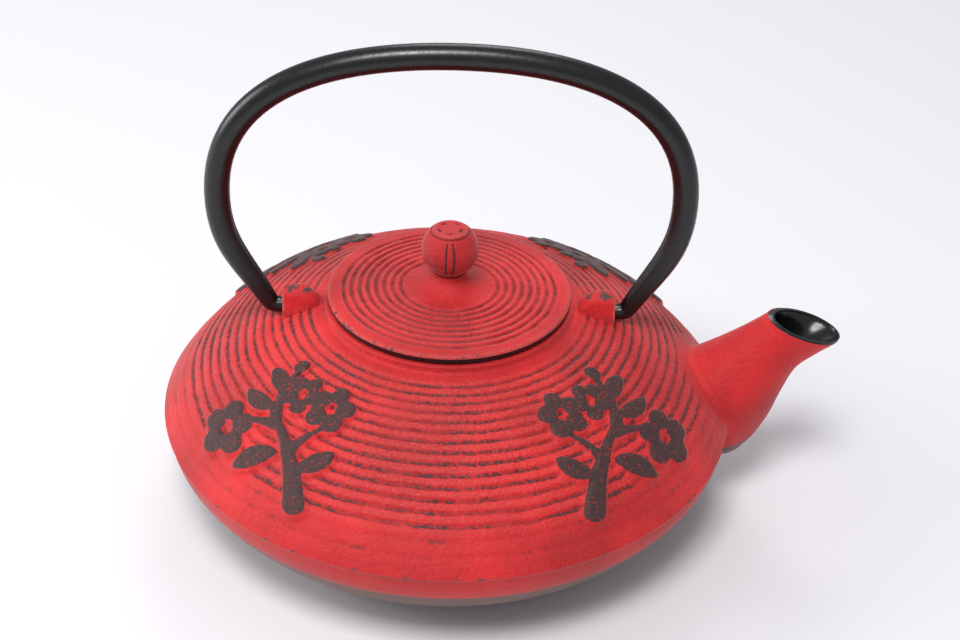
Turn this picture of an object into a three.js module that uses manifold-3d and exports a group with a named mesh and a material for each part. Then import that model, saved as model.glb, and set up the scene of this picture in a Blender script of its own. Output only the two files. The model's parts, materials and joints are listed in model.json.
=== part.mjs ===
/**
 * Saucer-shaped cast-iron teapot with a lift-off lid, a swinging bail handle and a hanging tea infuser.
 *
 * Millimetres, +Z up, +X towards the spout. The origin is the centre of the flat base, and the bail
 * stands in the XZ plane, hinged about X in two ears.
 */
import * as THREE from 'three';
import { mergeVertices } from 'three/addons/utils/BufferGeometryUtils.js';
import ManifoldModule from 'manifold-3d';

const wasm = await ManifoldModule();
wasm.setup();

// ---- Driving dimensions ------------------------------------------------------------------------

const clearance = 0.3;           // gap between two faces that seat on each other
const cutMargin = 2;             // how far a cutting solid runs past the face it opens

// Pot shell
const shellRadius = 85;          // widest radius, at the ridge above the rounded band
const equatorHeight = 31;        // table to the middle of the rounded band
const shoulderRise = 33.2;       // equator to the foot of the collar
const shellWall = 3.4;           // thickness of the cast wall
const baseRadius = 50;           // flat disc that the pot stands on
const footHeight = 1.6;          // short step between the base disc and the bowl
const footDraft = 0.8;           // how much the foot widens over its height
const bandRadius = 14;           // rounding of the band around the equator
const bandLowerAngle = -30;      // degrees, where the band runs into the lower bowl
const ridgeRise = 1.5;           // equator to the ridge
const ridgeOverhang = 0.7;       // how far the ridge stands out over the band
const bowlFlatness = 4;          // height of the lower bowl's control point: lower is flatter
const domeFullness = 0.69;       // share of the shoulder's rise and run taken before the dome turns

// Collar around the mouth
const mouthRadius = 30.4;        // bore that the infuser hangs in
const seatWidth = 3;             // ledge in the mouth under the infuser's flange
const collarWall = 2.9;          // iron outside the ledge
const collarHeight = 2.4;        // foot of the collar to its top
const collarFillet = 1.4;        // hollow rounding at the foot of the collar

// Ears that carry the bail
const earGap = 1.4;              // collar to the inner end of an ear
const earLength = 10.8;          // along the hinge axis
const earHalfWidth = 4.8;        // at the root
const earTopHalfWidth = 3.2;     // at the rounded top
const earRise = 6.6;             // hinge axis to the top of the ear
const earRidgeLength = 4.6;      // flat part of the top, before it slopes to the lid
const earSlopeDrop = 5.6;        // how far the top falls towards the lid
const hingeLift = 1.41;          // dome below the tube's bend, up to the underside of the tube
const hingePlay = 0.4;           // hole's radius less the tip's
const hingeEndPlay = 1.4;        // tip's end to the bottom of its hole

// Bail handle, a rolled steel tube
const tubeRadius = 3.6;
const tubeTipRadius = 2.3;       // where the tube is drawn down for the ears
const tubeWall = 0.8;
const taperLength = 28;          // from the full tube down to the tip
const taperEase = 1.6;
const tipInsertion = 5.6;        // how deep a tip goes into its ear
const tipStandoff = 1.6;         // straight tube between the ear and the bend
const tipBend = 1.8;             // trim of the corner where the tube turns upwards
const bailHalfWidth = 65.7;      // hinge plane to the widest part of the centreline
const bailWaistRise = 35;        // hinge axis to the widest part
const bailRise = 79;             // hinge axis to the crown of the centreline
const bailLean = 28;             // degrees from the vertical, of the tube just above the tips
const bailSquareness = 0.65;     // 0.55 is a round arch, more is squarer
const bailLegFullness = 15;      // how far the leg runs on before it turns upright

// Lid
const lidOverhang = 0.9;         // collar's outer radius less the lid's radius
const lidRimThickness = 2.4;
const lidEdgeRounding = 0.8;
const lidCrown = 1.2;            // rise of the lid from its rim to the foot of the boss
const bossFootRadius = 12.2;
const bossTopRadius = 4.9;
const bossRise = 5.1;            // foot of the boss to its top
const skirtDepth = 5;            // ring below the lid that locates it in the infuser
const skirtWall = 2;

// Knob and the rivet that holds it
const knobRadius = 8.2;
const knobSeatRadius = 4.5;      // flat underneath the ball
const knobTopRadius = 4.9;       // flat on top of the ball
const rivetRadius = 1.6;
const rivetBite = 6;             // how deep the rivet goes into the knob
const rivetHeadRadius = 3.2;
const rivetHeadHeight = 1.5;
const washerRadius = 4.6;
const washerThickness = 0.8;

// Infuser basket, pressed and woven stainless steel
const sheet = 0.6;               // thickness of every steel sheet in the basket
const flangePlay = 0.4;          // edge of the flange to the wall around the ledge
const flangeThickness = 0.8;
const basketPlay = 0.8;          // mouth bore to the basket's collar
const basketDepth = 42;          // top of the pot's collar to the underside of the basket
const skirtGap = 1;              // lid's skirt to the top of the woven wall
const meshOverlap = 2.6;         // how far the band below the flange covers the woven wall
const baseRingHeight = 4;
const baseRingLip = 4;           // width of the lip that carries the woven floor

// Spout, as sections from its root in the shell to the mouth. reach is measured outwards from the
// shell's widest radius, rise upwards from the equator.
const spoutSections = [
  { topReach: -27, topRise: 10, lowReach: -25, lowRise: -15, halfWidth: 15 },
  { topReach: -11, topRise: 17, lowReach: -1, lowRise: -16.8, halfWidth: 15.8 },
  { topReach: -5.5, topRise: 20.4, lowReach: 7.5, lowRise: -12, halfWidth: 14 },
  { topReach: -1, topRise: 23.7, lowReach: 12.8, lowRise: -3.2, halfWidth: 11.4 },
  { topReach: 3, topRise: 26.6, lowReach: 15.9, lowRise: 6.3, halfWidth: 9.4 },
  { topReach: 6.2, topRise: 29, lowReach: 19.2, lowRise: 14.6, halfWidth: 8.2 },
  { topReach: 8, topRise: 30.4, lowReach: 24.5, lowRise: 19.8, halfWidth: 8.1 },
  { topReach: 9, topRise: 31.2, lowReach: 31.3, lowRise: 25.2, halfWidth: 8.6 },
];
const spoutWall = 2.2;

// Fineness of the round surfaces
const shellSides = 48;
const smallSides = 36;
const knobSides = 24;
const tubeSides = 12;
const spoutSides = 24;
const spoutSteps = 14;

// ---- Places that follow from the dimensions ----------------------------------------------------

const collarRadius = mouthRadius + seatWidth + collarWall;
const collarFootHeight = equatorHeight + shoulderRise;
const collarTop = collarFootHeight + collarHeight;
const seatHeight = collarTop - flangeThickness - 2 * clearance;
const earInner = collarRadius + earGap;
const earOuter = earInner + earLength;
const bendReach = earOuter + tipStandoff + tipBend;
const hingeHeight = domeHeightAt(bendReach) + tubeTipRadius + hingeLift;

const lidRadius = collarRadius - lidOverhang;
const lidUnderside = collarTop + clearance;
const lidRimTop = lidUnderside + lidRimThickness;
const bossFoot = lidRimTop + lidCrown;
const bossTop = bossFoot + bossRise;
const knobSeat = bossTop + clearance;
const knobCentre = knobSeat + Math.sqrt(knobRadius ** 2 - knobSeatRadius ** 2);
const boreRadius = rivetRadius + clearance;
const rivetTop = knobSeat + rivetBite;
const washerTop = lidUnderside - clearance;
const rivetHeadTop = washerTop - washerThickness - clearance;

const flangeRadius = mouthRadius + seatWidth - flangePlay;
const rimCollarRadius = mouthRadius - basketPlay;
const flangeUnderside = seatHeight + clearance;
const meshRadius = rimCollarRadius - sheet - clearance;
const skirtRadius = rimCollarRadius - sheet - clearance;
const basketBottom = collarTop - basketDepth;
const floorUnderside = basketBottom + sheet + clearance;
const meshBottom = floorUnderside + sheet + clearance;
const meshTop = lidUnderside - skirtDepth - skirtGap;

// ---- Materials ---------------------------------------------------------------------------------

const redPaint = new THREE.MeshStandardMaterial({ color: 0xc8373a, roughness: 0.75, metalness: 0 });
const blackPaint = new THREE.MeshStandardMaterial({ color: 0x232426, roughness: 0.45, metalness: 0 });
const stainlessSteel = new THREE.MeshStandardMaterial({ color: 0xc9cacb, roughness: 0.3, metalness: 1 });
const plainSteel = new THREE.MeshStandardMaterial({ color: 0x9a9c9e, roughness: 0.4, metalness: 1 });

// ---- Geometry helpers --------------------------------------------------------------------------

/** A point of an outline: distance from the axis, and height. */
function at(radius, height) {
  return new THREE.Vector2(radius, height);
}

/** Points along the given curves, with the joints between them written once. */
function pointsAlong(...pieces) {
  const points = [];
  for (const [curve, steps] of pieces) {
    for (const point of curve.getPoints(steps)) {
      const last = points.at(-1);
      if (!last || last.distanceTo(point) > 1e-6) points.push(point);
    }
  }
  return points;
}

/** A round arc about (radius, height), between two angles in degrees. */
function arc(radius, height, size, fromDegrees, toDegrees) {
  const from = THREE.MathUtils.degToRad(fromDegrees);
  const to = THREE.MathUtils.degToRad(toDegrees);
  return new THREE.EllipseCurve(radius, height, size, size, from, to, to < from);
}

/** Turns an outline about the Z axis. The outline runs upwards on its outer side. */
function turned(outline, sides) {
  const geometry = new THREE.LatheGeometry(outline, sides);
  geometry.rotateX(Math.PI / 2);
  return geometry;
}

/** Turns an outline that closes on itself, such as a ring's section. */
function turnedRing(section, sides) {
  return turned([...section, section[0].clone()], sides);
}

/** The plain triangles of a geometry, with its shared corners merged. */
function merged(geometry) {
  const bare = geometry.clone();
  bare.deleteAttribute('normal');
  bare.deleteAttribute('uv');
  return mergeVertices(bare, 1e-4);
}

/** A manifold solid, for joining and cutting. */
function solid(geometry) {
  const { index, attributes } = merged(geometry);
  const mesh = new wasm.Mesh({
    numProp: 3,
    vertProperties: new Float32Array(attributes.position.array),
    triVerts: new Uint32Array(index.array),
  });
  return new wasm.Manifold(mesh);
}

/** The geometry of a manifold solid. */
function geometryOf(manifold) {
  const mesh = manifold.getMesh();
  const geometry = new THREE.BufferGeometry();
  geometry.setAttribute('position', new THREE.BufferAttribute(mesh.vertProperties, 3));
  geometry.setIndex(new THREE.BufferAttribute(mesh.triVerts, 1));
  geometry.computeVertexNormals();
  return geometry;
}

/** Moves every corner of a geometry to the place that a function gives for it. */
function reshaped(geometry, place) {
  const corner = new THREE.Vector3();
  const positions = geometry.getAttribute('position');
  for (let i = 0; i < positions.count; i += 1) {
    corner.fromBufferAttribute(positions, i);
    const moved = place(corner);
    positions.setXYZ(i, moved.x, moved.y, moved.z);
  }
  return geometry;
}

/** A round bar along X, between two distances from the axis, at the hinge's height. */
function barAlongX(radius, from, to, sides) {
  const bar = new THREE.CylinderGeometry(radius, radius, to - from, sides);
  bar.rotateZ(Math.PI / 2);
  bar.translate((from + to) / 2, 0, hingeHeight);
  return bar;
}

/** The same geometry on the other side of the pot. */
function onFarSide(geometry) {
  return geometry.clone().rotateZ(Math.PI);
}

// ---- Pot body ----------------------------------------------------------------------------------

/** Outer outline of the shell: the lower half from the foot to the equator, and the dome from the
 *  ridge to the foot of the collar. */
function shellOutline() {
  const bandCentre = shellRadius - ridgeOverhang - bandRadius;
  const band = arc(bandCentre, equatorHeight, bandRadius, bandLowerAngle, 0);
  const bandStart = band.getPoint(0);
  const lower = THREE.MathUtils.degToRad(bandLowerAngle);
  const bowlRun = (bandStart.y - bowlFlatness) * Math.tan(-lower);
  const bowlControl = at(bandStart.x - bowlRun, bowlFlatness);
  const bowl = new THREE.QuadraticBezierCurve(at(baseRadius + footDraft, footHeight), bowlControl, bandStart);

  const ridge = at(shellRadius, equatorHeight + ridgeRise);
  const shoulder = at(collarRadius + collarFillet, collarFootHeight);
  const domeControl = at(
    THREE.MathUtils.lerp(shoulder.x, ridge.x, domeFullness),
    THREE.MathUtils.lerp(ridge.y, shoulder.y, domeFullness),
  );
  const dome = new THREE.QuadraticBezierCurve(ridge, domeControl, shoulder);
  return { lower: pointsAlong([bowl, 5], [band, 3]), dome: dome.getPoints(7) };
}

/** Height of the dome's outer surface at a distance from the pot's axis. */
function domeHeightAt(radius) {
  const { dome } = shellOutline();
  const next = dome.findIndex((point) => point.x < radius);
  const outer = dome[next - 1];
  const inner = dome[next];
  return THREE.MathUtils.mapLinear(radius, outer.x, inner.x, outer.y, inner.y);
}

/** An outline moved inwards by a wall's thickness. */
function insetOutline(outline, thickness) {
  return outline.map((point, i) => {
    const before = outline[Math.max(i - 1, 0)];
    const after = outline[Math.min(i + 1, outline.length - 1)];
    const along = after.clone().sub(before).normalize();
    return at(point.x - along.y * thickness, point.y + along.x * thickness);
  });
}

/** The solid outside of the shell, its foot and its collar. */
function shellOutside() {
  const { lower, dome } = shellOutline();
  const fillet = new THREE.QuadraticBezierCurve(
    at(collarRadius + collarFillet, collarFootHeight),
    at(collarRadius, collarFootHeight),
    at(collarRadius, collarFootHeight + collarFillet),
  );
  return turned([
    at(0, 0),
    at(baseRadius, 0),
    ...lower,
    ...dome,
    ...fillet.getPoints(3).slice(1),
    at(collarRadius, collarTop),
    at(0, collarTop),
  ], shellSides);
}

/** The space inside the shell, up through the mouth, with the ledge for the infuser. */
function shellInside() {
  const { lower, dome } = shellOutline();
  const innerLower = insetOutline(lower, shellWall);
  const widest = innerLower.at(-1);
  const innerDome = insetOutline(dome, shellWall);
  const floorHeight = footHeight + shellWall;
  const neckFoot = collarFootHeight - shellWall;
  return turned([
    at(0, floorHeight),
    ...innerLower.map((point) => at(point.x, Math.max(point.y, floorHeight))),
    ...innerDome.filter((point) => point.y > widest.y && point.y < neckFoot),
    at(mouthRadius, neckFoot),
    at(mouthRadius, seatHeight),
    at(mouthRadius + seatWidth, seatHeight),
    at(mouthRadius + seatWidth, collarTop + cutMargin),
    at(0, collarTop + cutMargin),
  ], shellSides);
}

/** One section of the spout as points in the pot's frame. */
function placedSection({ topReach, topRise, lowReach, lowRise, halfWidth }) {
  return {
    top: new THREE.Vector3(shellRadius + topReach, 0, equatorHeight + topRise),
    low: new THREE.Vector3(shellRadius + lowReach, 0, equatorHeight + lowRise),
    width: new THREE.Vector3(0, halfWidth, 0),
  };
}

/** A round solid through the given sections, smaller all round by an inset. */
function sweptSections(sections, inset) {
  const topLine = new THREE.CatmullRomCurve3(sections.map((section) => section.top));
  const lowLine = new THREE.CatmullRomCurve3(sections.map((section) => section.low));
  const widths = new THREE.CatmullRomCurve3(sections.map((section) => section.width));
  const tube = new THREE.CylinderGeometry(1, 1, 1, spoutSides, spoutSteps);
  return reshaped(tube, ({ x, y, z }) => {
    const along = y + 0.5;
    const top = topLine.getPoint(along);
    const low = lowLine.getPoint(along);
    const halfWidth = widths.getPoint(along).y - inset;
    const upwards = top.clone().sub(low);
    const halfHeight = upwards.length() / 2 - inset;
    const centre = top.clone().add(low).divideScalar(2);
    const place = centre.addScaledVector(upwards.normalize(), x * halfHeight);
    place.y += z * halfWidth;
    return place;
  });
}

/** The spout's channel, from inside the shell to past the mouth. */
function spoutChannel() {
  const sections = spoutSections.map(placedSection);
  const mouth = sections.at(-1);
  const acrossMouth = mouth.low.clone().sub(mouth.top).normalize();
  const outOfMouth = new THREE.Vector3(-acrossMouth.z, 0, acrossMouth.x).multiplyScalar(cutMargin);
  const pastMouth = {
    top: mouth.top.clone().add(outOfMouth),
    low: mouth.low.clone().add(outOfMouth),
    width: mouth.width,
  };
  return sweptSections([...sections, pastMouth], spoutWall);
}

/** One ear: a round-topped block across the hinge axis, sloping down towards the lid. */
function ear() {
  const root = equatorHeight + shoulderRise / 2;
  const top = hingeHeight + earRise;
  const front = new THREE.Shape();
  front.moveTo(-earHalfWidth, root);
  front.lineTo(earHalfWidth, root);
  front.lineTo(earTopHalfWidth, top - earTopHalfWidth);
  front.absarc(0, top - earTopHalfWidth, earTopHalfWidth, 0, Math.PI, false);
  const block = new THREE.ExtrudeGeometry(front, { depth: earLength, bevelEnabled: false, curveSegments: 8 });
  block.applyMatrix4(new THREE.Matrix4().makeBasis(
    new THREE.Vector3(0, 1, 0),
    new THREE.Vector3(0, 0, 1),
    new THREE.Vector3(1, 0, 0),
  ));
  block.translate(earInner, 0, 0);

  const side = new THREE.Shape();
  side.moveTo(earInner - cutMargin, root - cutMargin);
  side.lineTo(earOuter + cutMargin, root - cutMargin);
  side.lineTo(earOuter + cutMargin, top - earTopHalfWidth);
  side.lineTo(earOuter, top - earTopHalfWidth);
  side.quadraticCurveTo(earOuter, top, earOuter - earTopHalfWidth / 2, top);
  side.lineTo(earOuter - earRidgeLength, top);
  side.quadraticCurveTo(earInner + earTopHalfWidth, top - earSlopeDrop / 8, earInner, top - earSlopeDrop);
  side.lineTo(earInner - cutMargin, top - earSlopeDrop);
  const width = 2 * (earHalfWidth + cutMargin);
  const slope = new THREE.ExtrudeGeometry(side, { depth: width, bevelEnabled: false, curveSegments: 6 });
  slope.rotateX(Math.PI / 2);
  slope.translate(0, width / 2, 0);
  return solid(block).intersect(solid(slope));
}

/** The blind hole for a tip of the bail. */
function hingeHole() {
  const bottom = earOuter - tipInsertion - hingeEndPlay;
  return barAlongX(tubeTipRadius + hingePlay, bottom, earOuter + cutMargin, knobSides);
}

function potBody() {
  const spout = sweptSections(spoutSections.map(placedSection), 0);
  const oneEar = geometryOf(ear());
  return geometryOf(solid(shellOutside())
    .add(solid(spout))
    .add(solid(oneEar))
    .add(solid(onFarSide(oneEar)))
    .subtract(solid(shellInside()))
    .subtract(solid(spoutChannel()))
    .subtract(solid(hingeHole()))
    .subtract(solid(onFarSide(hingeHole()))));
}

// ---- Bail handle -------------------------------------------------------------------------------

/** Half of the bail's centreline, from the tip in the ear to the crown: distance from the pot's
 *  axis, and rise above the hinge. */
function bailHalf() {
  const lean = THREE.MathUtils.degToRad(bailLean);
  const alongLeg = (length) => at(length * Math.sin(lean), length * Math.cos(lean));
  const bendStart = at(earOuter + tipStandoff, 0);
  const corner = at(bendReach, 0);
  const bendEnd = corner.clone().add(alongLeg(tipBend));
  const waist = at(bailHalfWidth, bailWaistRise);
  const crownRise = bailRise - bailWaistRise;
  const tip = new THREE.LineCurve(at(earOuter - tipInsertion, 0), bendStart);
  const bend = new THREE.QuadraticBezierCurve(bendStart, corner, bendEnd);
  const leg = new THREE.CubicBezierCurve(
    bendEnd,
    bendEnd.clone().add(alongLeg(bailLegFullness)),
    at(waist.x, waist.y - bailLegFullness),
    waist,
  );
  const shoulder = new THREE.CubicBezierCurve(
    waist,
    at(waist.x, waist.y + bailSquareness * crownRise),
    at(waist.x * bailSquareness, bailRise),
    at(0, bailRise),
  );
  return pointsAlong([tip, 2], [bend, 4], [leg, 5], [shoulder, 8]);
}

/** The tube's outer radius at a distance along it from the nearer tip. */
function bailRadius(fromTip) {
  const drawn = Math.max(1 - (fromTip - tipInsertion) / taperLength, 0);
  return tubeRadius - (tubeRadius - tubeTipRadius) * Math.min(drawn, 1) ** taperEase;
}

/** The hollow tube, bent along the centreline and open at both tips. */
function bailHandle() {
  const half = bailHalf();
  const mirrored = half.slice(0, -1).reverse().map((point) => at(-point.x, point.y));
  const line = [...half, ...mirrored];
  const runs = line.map((point, i) => (i > 0 ? point.distanceTo(line[i - 1]) : 0));
  const lengths = runs.map((_, i) => runs.slice(0, i + 1).reduce((sum, run) => sum + run, 0));
  const radii = lengths.map((length) => bailRadius(Math.min(length, lengths.at(-1) - length)));
  const outside = radii.map((radius, i) => at(radius, i));
  const inside = radii.map((radius, i) => at(radius - tubeWall, i)).reverse();
  const tube = new THREE.LatheGeometry([...outside, ...inside, outside[0].clone()], tubeSides);
  return reshaped(tube, ({ x, y, z }) => {
    const i = Math.round(y);
    const before = line[Math.max(i - 1, 0)];
    const after = line[Math.min(i + 1, line.length - 1)];
    const along = after.clone().sub(before).normalize();
    return new THREE.Vector3(line[i].x - x * along.y, z, hingeHeight + line[i].y + x * along.x);
  });
}

// ---- Lid, knob and rivet -----------------------------------------------------------------------

function lid() {
  const rim = lidEdgeRounding;
  const bossFlare = new THREE.QuadraticBezierCurve(
    at(bossFootRadius, bossFoot),
    at(bossTopRadius + rim, bossFoot + rim),
    at(bossTopRadius, bossTop),
  );
  const crown = new THREE.QuadraticBezierCurve(
    at(lidRadius - 2 * rim, lidRimTop),
    at((lidRadius + bossFootRadius) / 2, bossFoot),
    at(bossFootRadius, bossFoot),
  );
  return turnedRing([
    at(boreRadius, lidUnderside),
    at(skirtRadius - skirtWall, lidUnderside),
    at(skirtRadius - skirtWall, lidUnderside - skirtDepth),
    at(skirtRadius, lidUnderside - skirtDepth),
    at(skirtRadius, lidUnderside),
    ...arc(lidRadius - rim, lidUnderside + rim, rim, -90, 0).getPoints(1),
    ...arc(lidRadius - rim, lidRimTop - rim, rim, 0, 90).getPoints(2),
    ...pointsAlong([crown, 4], [bossFlare, 5]),
    at(boreRadius, bossTop),
  ], smallSides);
}

function lidKnob() {
  const low = THREE.MathUtils.radToDeg(Math.asin((knobSeat - knobCentre) / knobRadius));
  const high = THREE.MathUtils.radToDeg(Math.acos(knobTopRadius / knobRadius));
  const ball = arc(0, knobCentre, knobRadius, low, high).getPoints(9);
  return turned([
    at(0, rivetTop + clearance),
    at(boreRadius, rivetTop + clearance),
    at(boreRadius, knobSeat),
    ...ball,
    at(0, ball.at(-1).y),
  ], knobSides);
}

/** Stud through the lid, turned over below the washer. */
function knobRivet() {
  return turned([
    at(0, rivetHeadTop - rivetHeadHeight),
    at(rivetHeadRadius / 2, rivetHeadTop - rivetHeadHeight),
    at(rivetHeadRadius, rivetHeadTop - rivetHeadHeight / 3),
    at(rivetHeadRadius, rivetHeadTop),
    at(rivetRadius, rivetHeadTop),
    at(rivetRadius, rivetTop),
    at(0, rivetTop),
  ], knobSides);
}

/** A flat or tall ring between two radii and two heights. */
function plainRing(innerRadius, outerRadius, low, high, sides) {
  return turnedRing([
    at(innerRadius, low),
    at(outerRadius, low),
    at(outerRadius, high),
    at(innerRadius, high),
  ], sides);
}

function knobWasher() {
  return plainRing(boreRadius, washerRadius, washerTop - washerThickness, washerTop, knobSides);
}

// ---- Infuser basket ----------------------------------------------------------------------------

/** Flange on the ledge in the mouth, with the plain band that the woven wall hangs from. */
function infuserRim() {
  const top = flangeUnderside + flangeThickness;
  const bottom = meshTop - meshOverlap;
  return turnedRing([
    at(rimCollarRadius - sheet, bottom),
    at(rimCollarRadius, bottom),
    at(rimCollarRadius, flangeUnderside),
    at(flangeRadius, flangeUnderside),
    at(flangeRadius, top),
    at(rimCollarRadius - sheet, top),
  ], smallSides);
}

function infuserWall() {
  return plainRing(meshRadius - sheet, meshRadius, meshBottom, meshTop, smallSides);
}

/** Channel around the bottom of the basket, with a lip under the woven floor. */
function infuserBaseRing() {
  return turnedRing([
    at(rimCollarRadius - baseRingLip, basketBottom),
    at(rimCollarRadius, basketBottom),
    at(rimCollarRadius, basketBottom + baseRingHeight),
    at(rimCollarRadius - sheet, basketBottom + baseRingHeight),
    at(rimCollarRadius - sheet, basketBottom + sheet),
    at(rimCollarRadius - baseRingLip, basketBottom + sheet),
  ], smallSides);
}

function infuserFloor() {
  const disc = new THREE.CylinderGeometry(meshRadius, meshRadius, sheet, smallSides);
  disc.rotateX(Math.PI / 2);
  disc.translate(0, 0, floorUnderside + sheet / 2);
  return disc;
}

// ---- Assembly ----------------------------------------------------------------------------------

function named(name, geometry, material) {
  const mesh = new THREE.Mesh(geometry, material);
  mesh.name = name;
  return mesh;
}

const lidAssembly = new THREE.Group();
lidAssembly.add(
  named('lid', lid(), redPaint),
  named('lid_knob', lidKnob(), redPaint),
  named('knob_rivet', knobRivet(), plainSteel),
  named('knob_washer', knobWasher(), plainSteel),
);

const infuser = new THREE.Group();
infuser.add(
  named('infuser_rim', infuserRim(), stainlessSteel),
  named('infuser_wall', infuserWall(), stainlessSteel),
  named('infuser_base_ring', infuserBaseRing(), stainlessSteel),
  named('infuser_floor', infuserFloor(), stainlessSteel),
  lidAssembly,
);

const teapot = new THREE.Group();
teapot.add(
  named('pot_body', potBody(), redPaint),
  named('bail_handle', bailHandle(), blackPaint),
  infuser,
);

export default teapot;
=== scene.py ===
"""Fine surfaces and finishes of a saucer-shaped cast-iron teapot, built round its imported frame."""
import json
import logging
import math
from collections.abc import Sequence
from dataclasses import dataclass, field
from enum import Enum

import bmesh
import bpy
import numpy as np
from bpy.types import Material, Node, NodeOutputs as Outputs, NodeSocket as Socket, NodeTree as Tree, Object as Piece
from mathutils import Matrix, Vector
from mathutils.kdtree import KDTree


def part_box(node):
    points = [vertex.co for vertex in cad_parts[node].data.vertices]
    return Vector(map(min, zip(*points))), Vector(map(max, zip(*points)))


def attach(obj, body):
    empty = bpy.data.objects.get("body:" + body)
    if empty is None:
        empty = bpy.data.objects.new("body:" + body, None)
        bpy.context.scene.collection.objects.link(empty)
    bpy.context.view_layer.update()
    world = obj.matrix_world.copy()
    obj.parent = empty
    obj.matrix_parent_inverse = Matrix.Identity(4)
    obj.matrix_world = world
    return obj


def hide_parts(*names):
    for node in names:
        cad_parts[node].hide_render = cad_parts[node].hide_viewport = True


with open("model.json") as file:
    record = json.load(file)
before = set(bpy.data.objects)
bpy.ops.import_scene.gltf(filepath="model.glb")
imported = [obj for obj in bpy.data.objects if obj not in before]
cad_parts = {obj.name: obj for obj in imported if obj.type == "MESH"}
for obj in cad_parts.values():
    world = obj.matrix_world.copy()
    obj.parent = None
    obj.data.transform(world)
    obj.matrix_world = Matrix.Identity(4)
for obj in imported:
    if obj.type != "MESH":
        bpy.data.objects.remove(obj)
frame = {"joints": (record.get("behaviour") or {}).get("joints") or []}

LOG = logging.getLogger("teapot")
MM = 0.001
TOUCHING = 1e-7


class Body(Enum):
    """Bodies of the frame that pieces ride on."""

    POT = "pot"
    BAIL = "bail"
    INFUSER = "infuser"
    LID = "lid"


class Slot(Enum):
    """Material slots of the record."""

    RED_IRON = "red_cast_iron"
    BLACK_STEEL = "black_painted_steel"
    PLAIN_STEEL = "plain_steel"
    STAINLESS = "stainless_steel"
    WIRE = "stainless_mesh"


class Mark(Enum):
    """Point attributes that tell the paint where it is worn or grooved, and where it carries painted shade or painted
    highlight.
    """

    RINGS = "ring_weight"
    GRAIN = "grain_weight"
    RELIEF = "relief"
    CREASE = "crease"
    WEAR = "wear"
    EDGE = "pale_edge"
    BAND = "band"
    BARE = "bare"
    ENAMEL = "enamelled"


# ---- Small shared tools ----


def linear(colour: str) -> tuple[float, float, float, float]:
    """Turns an sRGB colour into the linear values that shaders take.

    Args:
        colour: Six hex digits after a hash sign.

    Returns:
        Linear red, green, blue and an alpha of one.
    """
    shares = [int(colour[i:i + 2], 16) / 255 for i in (1, 3, 5)]
    curved = [s / 12.92 if s <= 0.04045 else ((s + 0.055) / 1.055) ** 2.4 for s in shares]
    return (*curved, 1.0)


def add_node(tree: Tree, kind: str, inputs: dict | None = None, **settings: object) -> Node:
    """Adds a node with its settings and links.

    Args:
        tree: The tree that gets the node.
        kind: The node's type name.
        inputs: Sockets by name or number, each with a value, the output that feeds it, or the node
            whose first output does.
        **settings: Properties of the node.

    Returns:
        The new node.
    """
    node = tree.nodes.new(kind)
    for name, value in settings.items():
        setattr(node, name, value)
    for key, value in (inputs or {}).items():
        socket = node.inputs[key]
        if isinstance(value, Node):
            value = value.outputs[0]
        if isinstance(value, Socket):
            tree.links.new(value, socket)
        else:
            socket.default_value = value
    return node


def smoothstep(low: float, high: float, value: np.ndarray) -> np.ndarray:
    """Eases values to shares that rise from 0 at low to 1 at high."""
    share = np.clip((value - low) / (high - low), 0.0, 1.0)
    return share * share * (3.0 - 2.0 * share)


def quadratic(start: Sequence[float], control: Sequence[float], end: Sequence[float], steps: int) -> np.ndarray:
    """Points of a quadratic curve.

    Args:
        start: First point.
        control: Control point.
        end: Last point.
        steps: Number of stretches.

    Returns:
        One row for each point.
    """
    t = np.linspace(0.0, 1.0, steps + 1)[:, None]
    a, b, c = (np.asarray(p, float) for p in (start, control, end))
    return (1 - t) ** 2 * a + 2 * t * (1 - t) * b + t ** 2 * c


def cubic(a: Sequence[float], b: Sequence[float], c: Sequence[float], d: Sequence[float], steps: int) -> np.ndarray:
    """Points of a cubic curve.

    Args:
        a: First point.
        b: First control point.
        c: Second control point.
        d: Last point.
        steps: Number of stretches.

    Returns:
        One row for each point.
    """
    t = np.linspace(0.0, 1.0, steps + 1)[:, None]
    a, b, c, d = (np.asarray(p, float) for p in (a, b, c, d))
    return (1 - t) ** 3 * a + 3 * t * (1 - t) ** 2 * b + 3 * t ** 2 * (1 - t) * c + t ** 3 * d


def arc(radius: float, height: float, size: float, start: float, end: float, steps: int) -> np.ndarray:
    """Rows of distance and height on an arc, from its centre, its own radius and its angles in degrees."""
    turn = np.radians(np.linspace(start, end, steps + 1))
    return np.stack([radius + size * np.cos(turn), height + size * np.sin(turn)], axis=1)


def spaced(outline: np.ndarray, step: float) -> np.ndarray:
    """An outline with points at an even spacing.

    Args:
        outline: Rows of points.
        step: The longest spacing.

    Returns:
        The outline's new points.
    """
    runs = np.concatenate([[0.0], np.cumsum(np.linalg.norm(np.diff(outline, axis=0), axis=1))])
    count = max(int(math.ceil(runs[-1] / step)), 1)
    places = np.linspace(0.0, runs[-1], count + 1)
    return np.stack([np.interp(places, runs, outline[:, k]) for k in range(outline.shape[1])], axis=1)


def chained(*stretches: Sequence[Sequence[float]]) -> np.ndarray:
    """Stretches of an outline joined end to end, with the points that they share written once.

    Args:
        *stretches: Rows of points, or one point, each.

    Returns:
        One row for each point.
    """
    points: list[np.ndarray] = []
    for stretch in stretches:
        for point in np.atleast_2d(np.asarray(stretch, float)):
            if not points or np.linalg.norm(point - points[-1]) > TOUCHING:
                points.append(point)
    return np.array(points)


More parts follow.
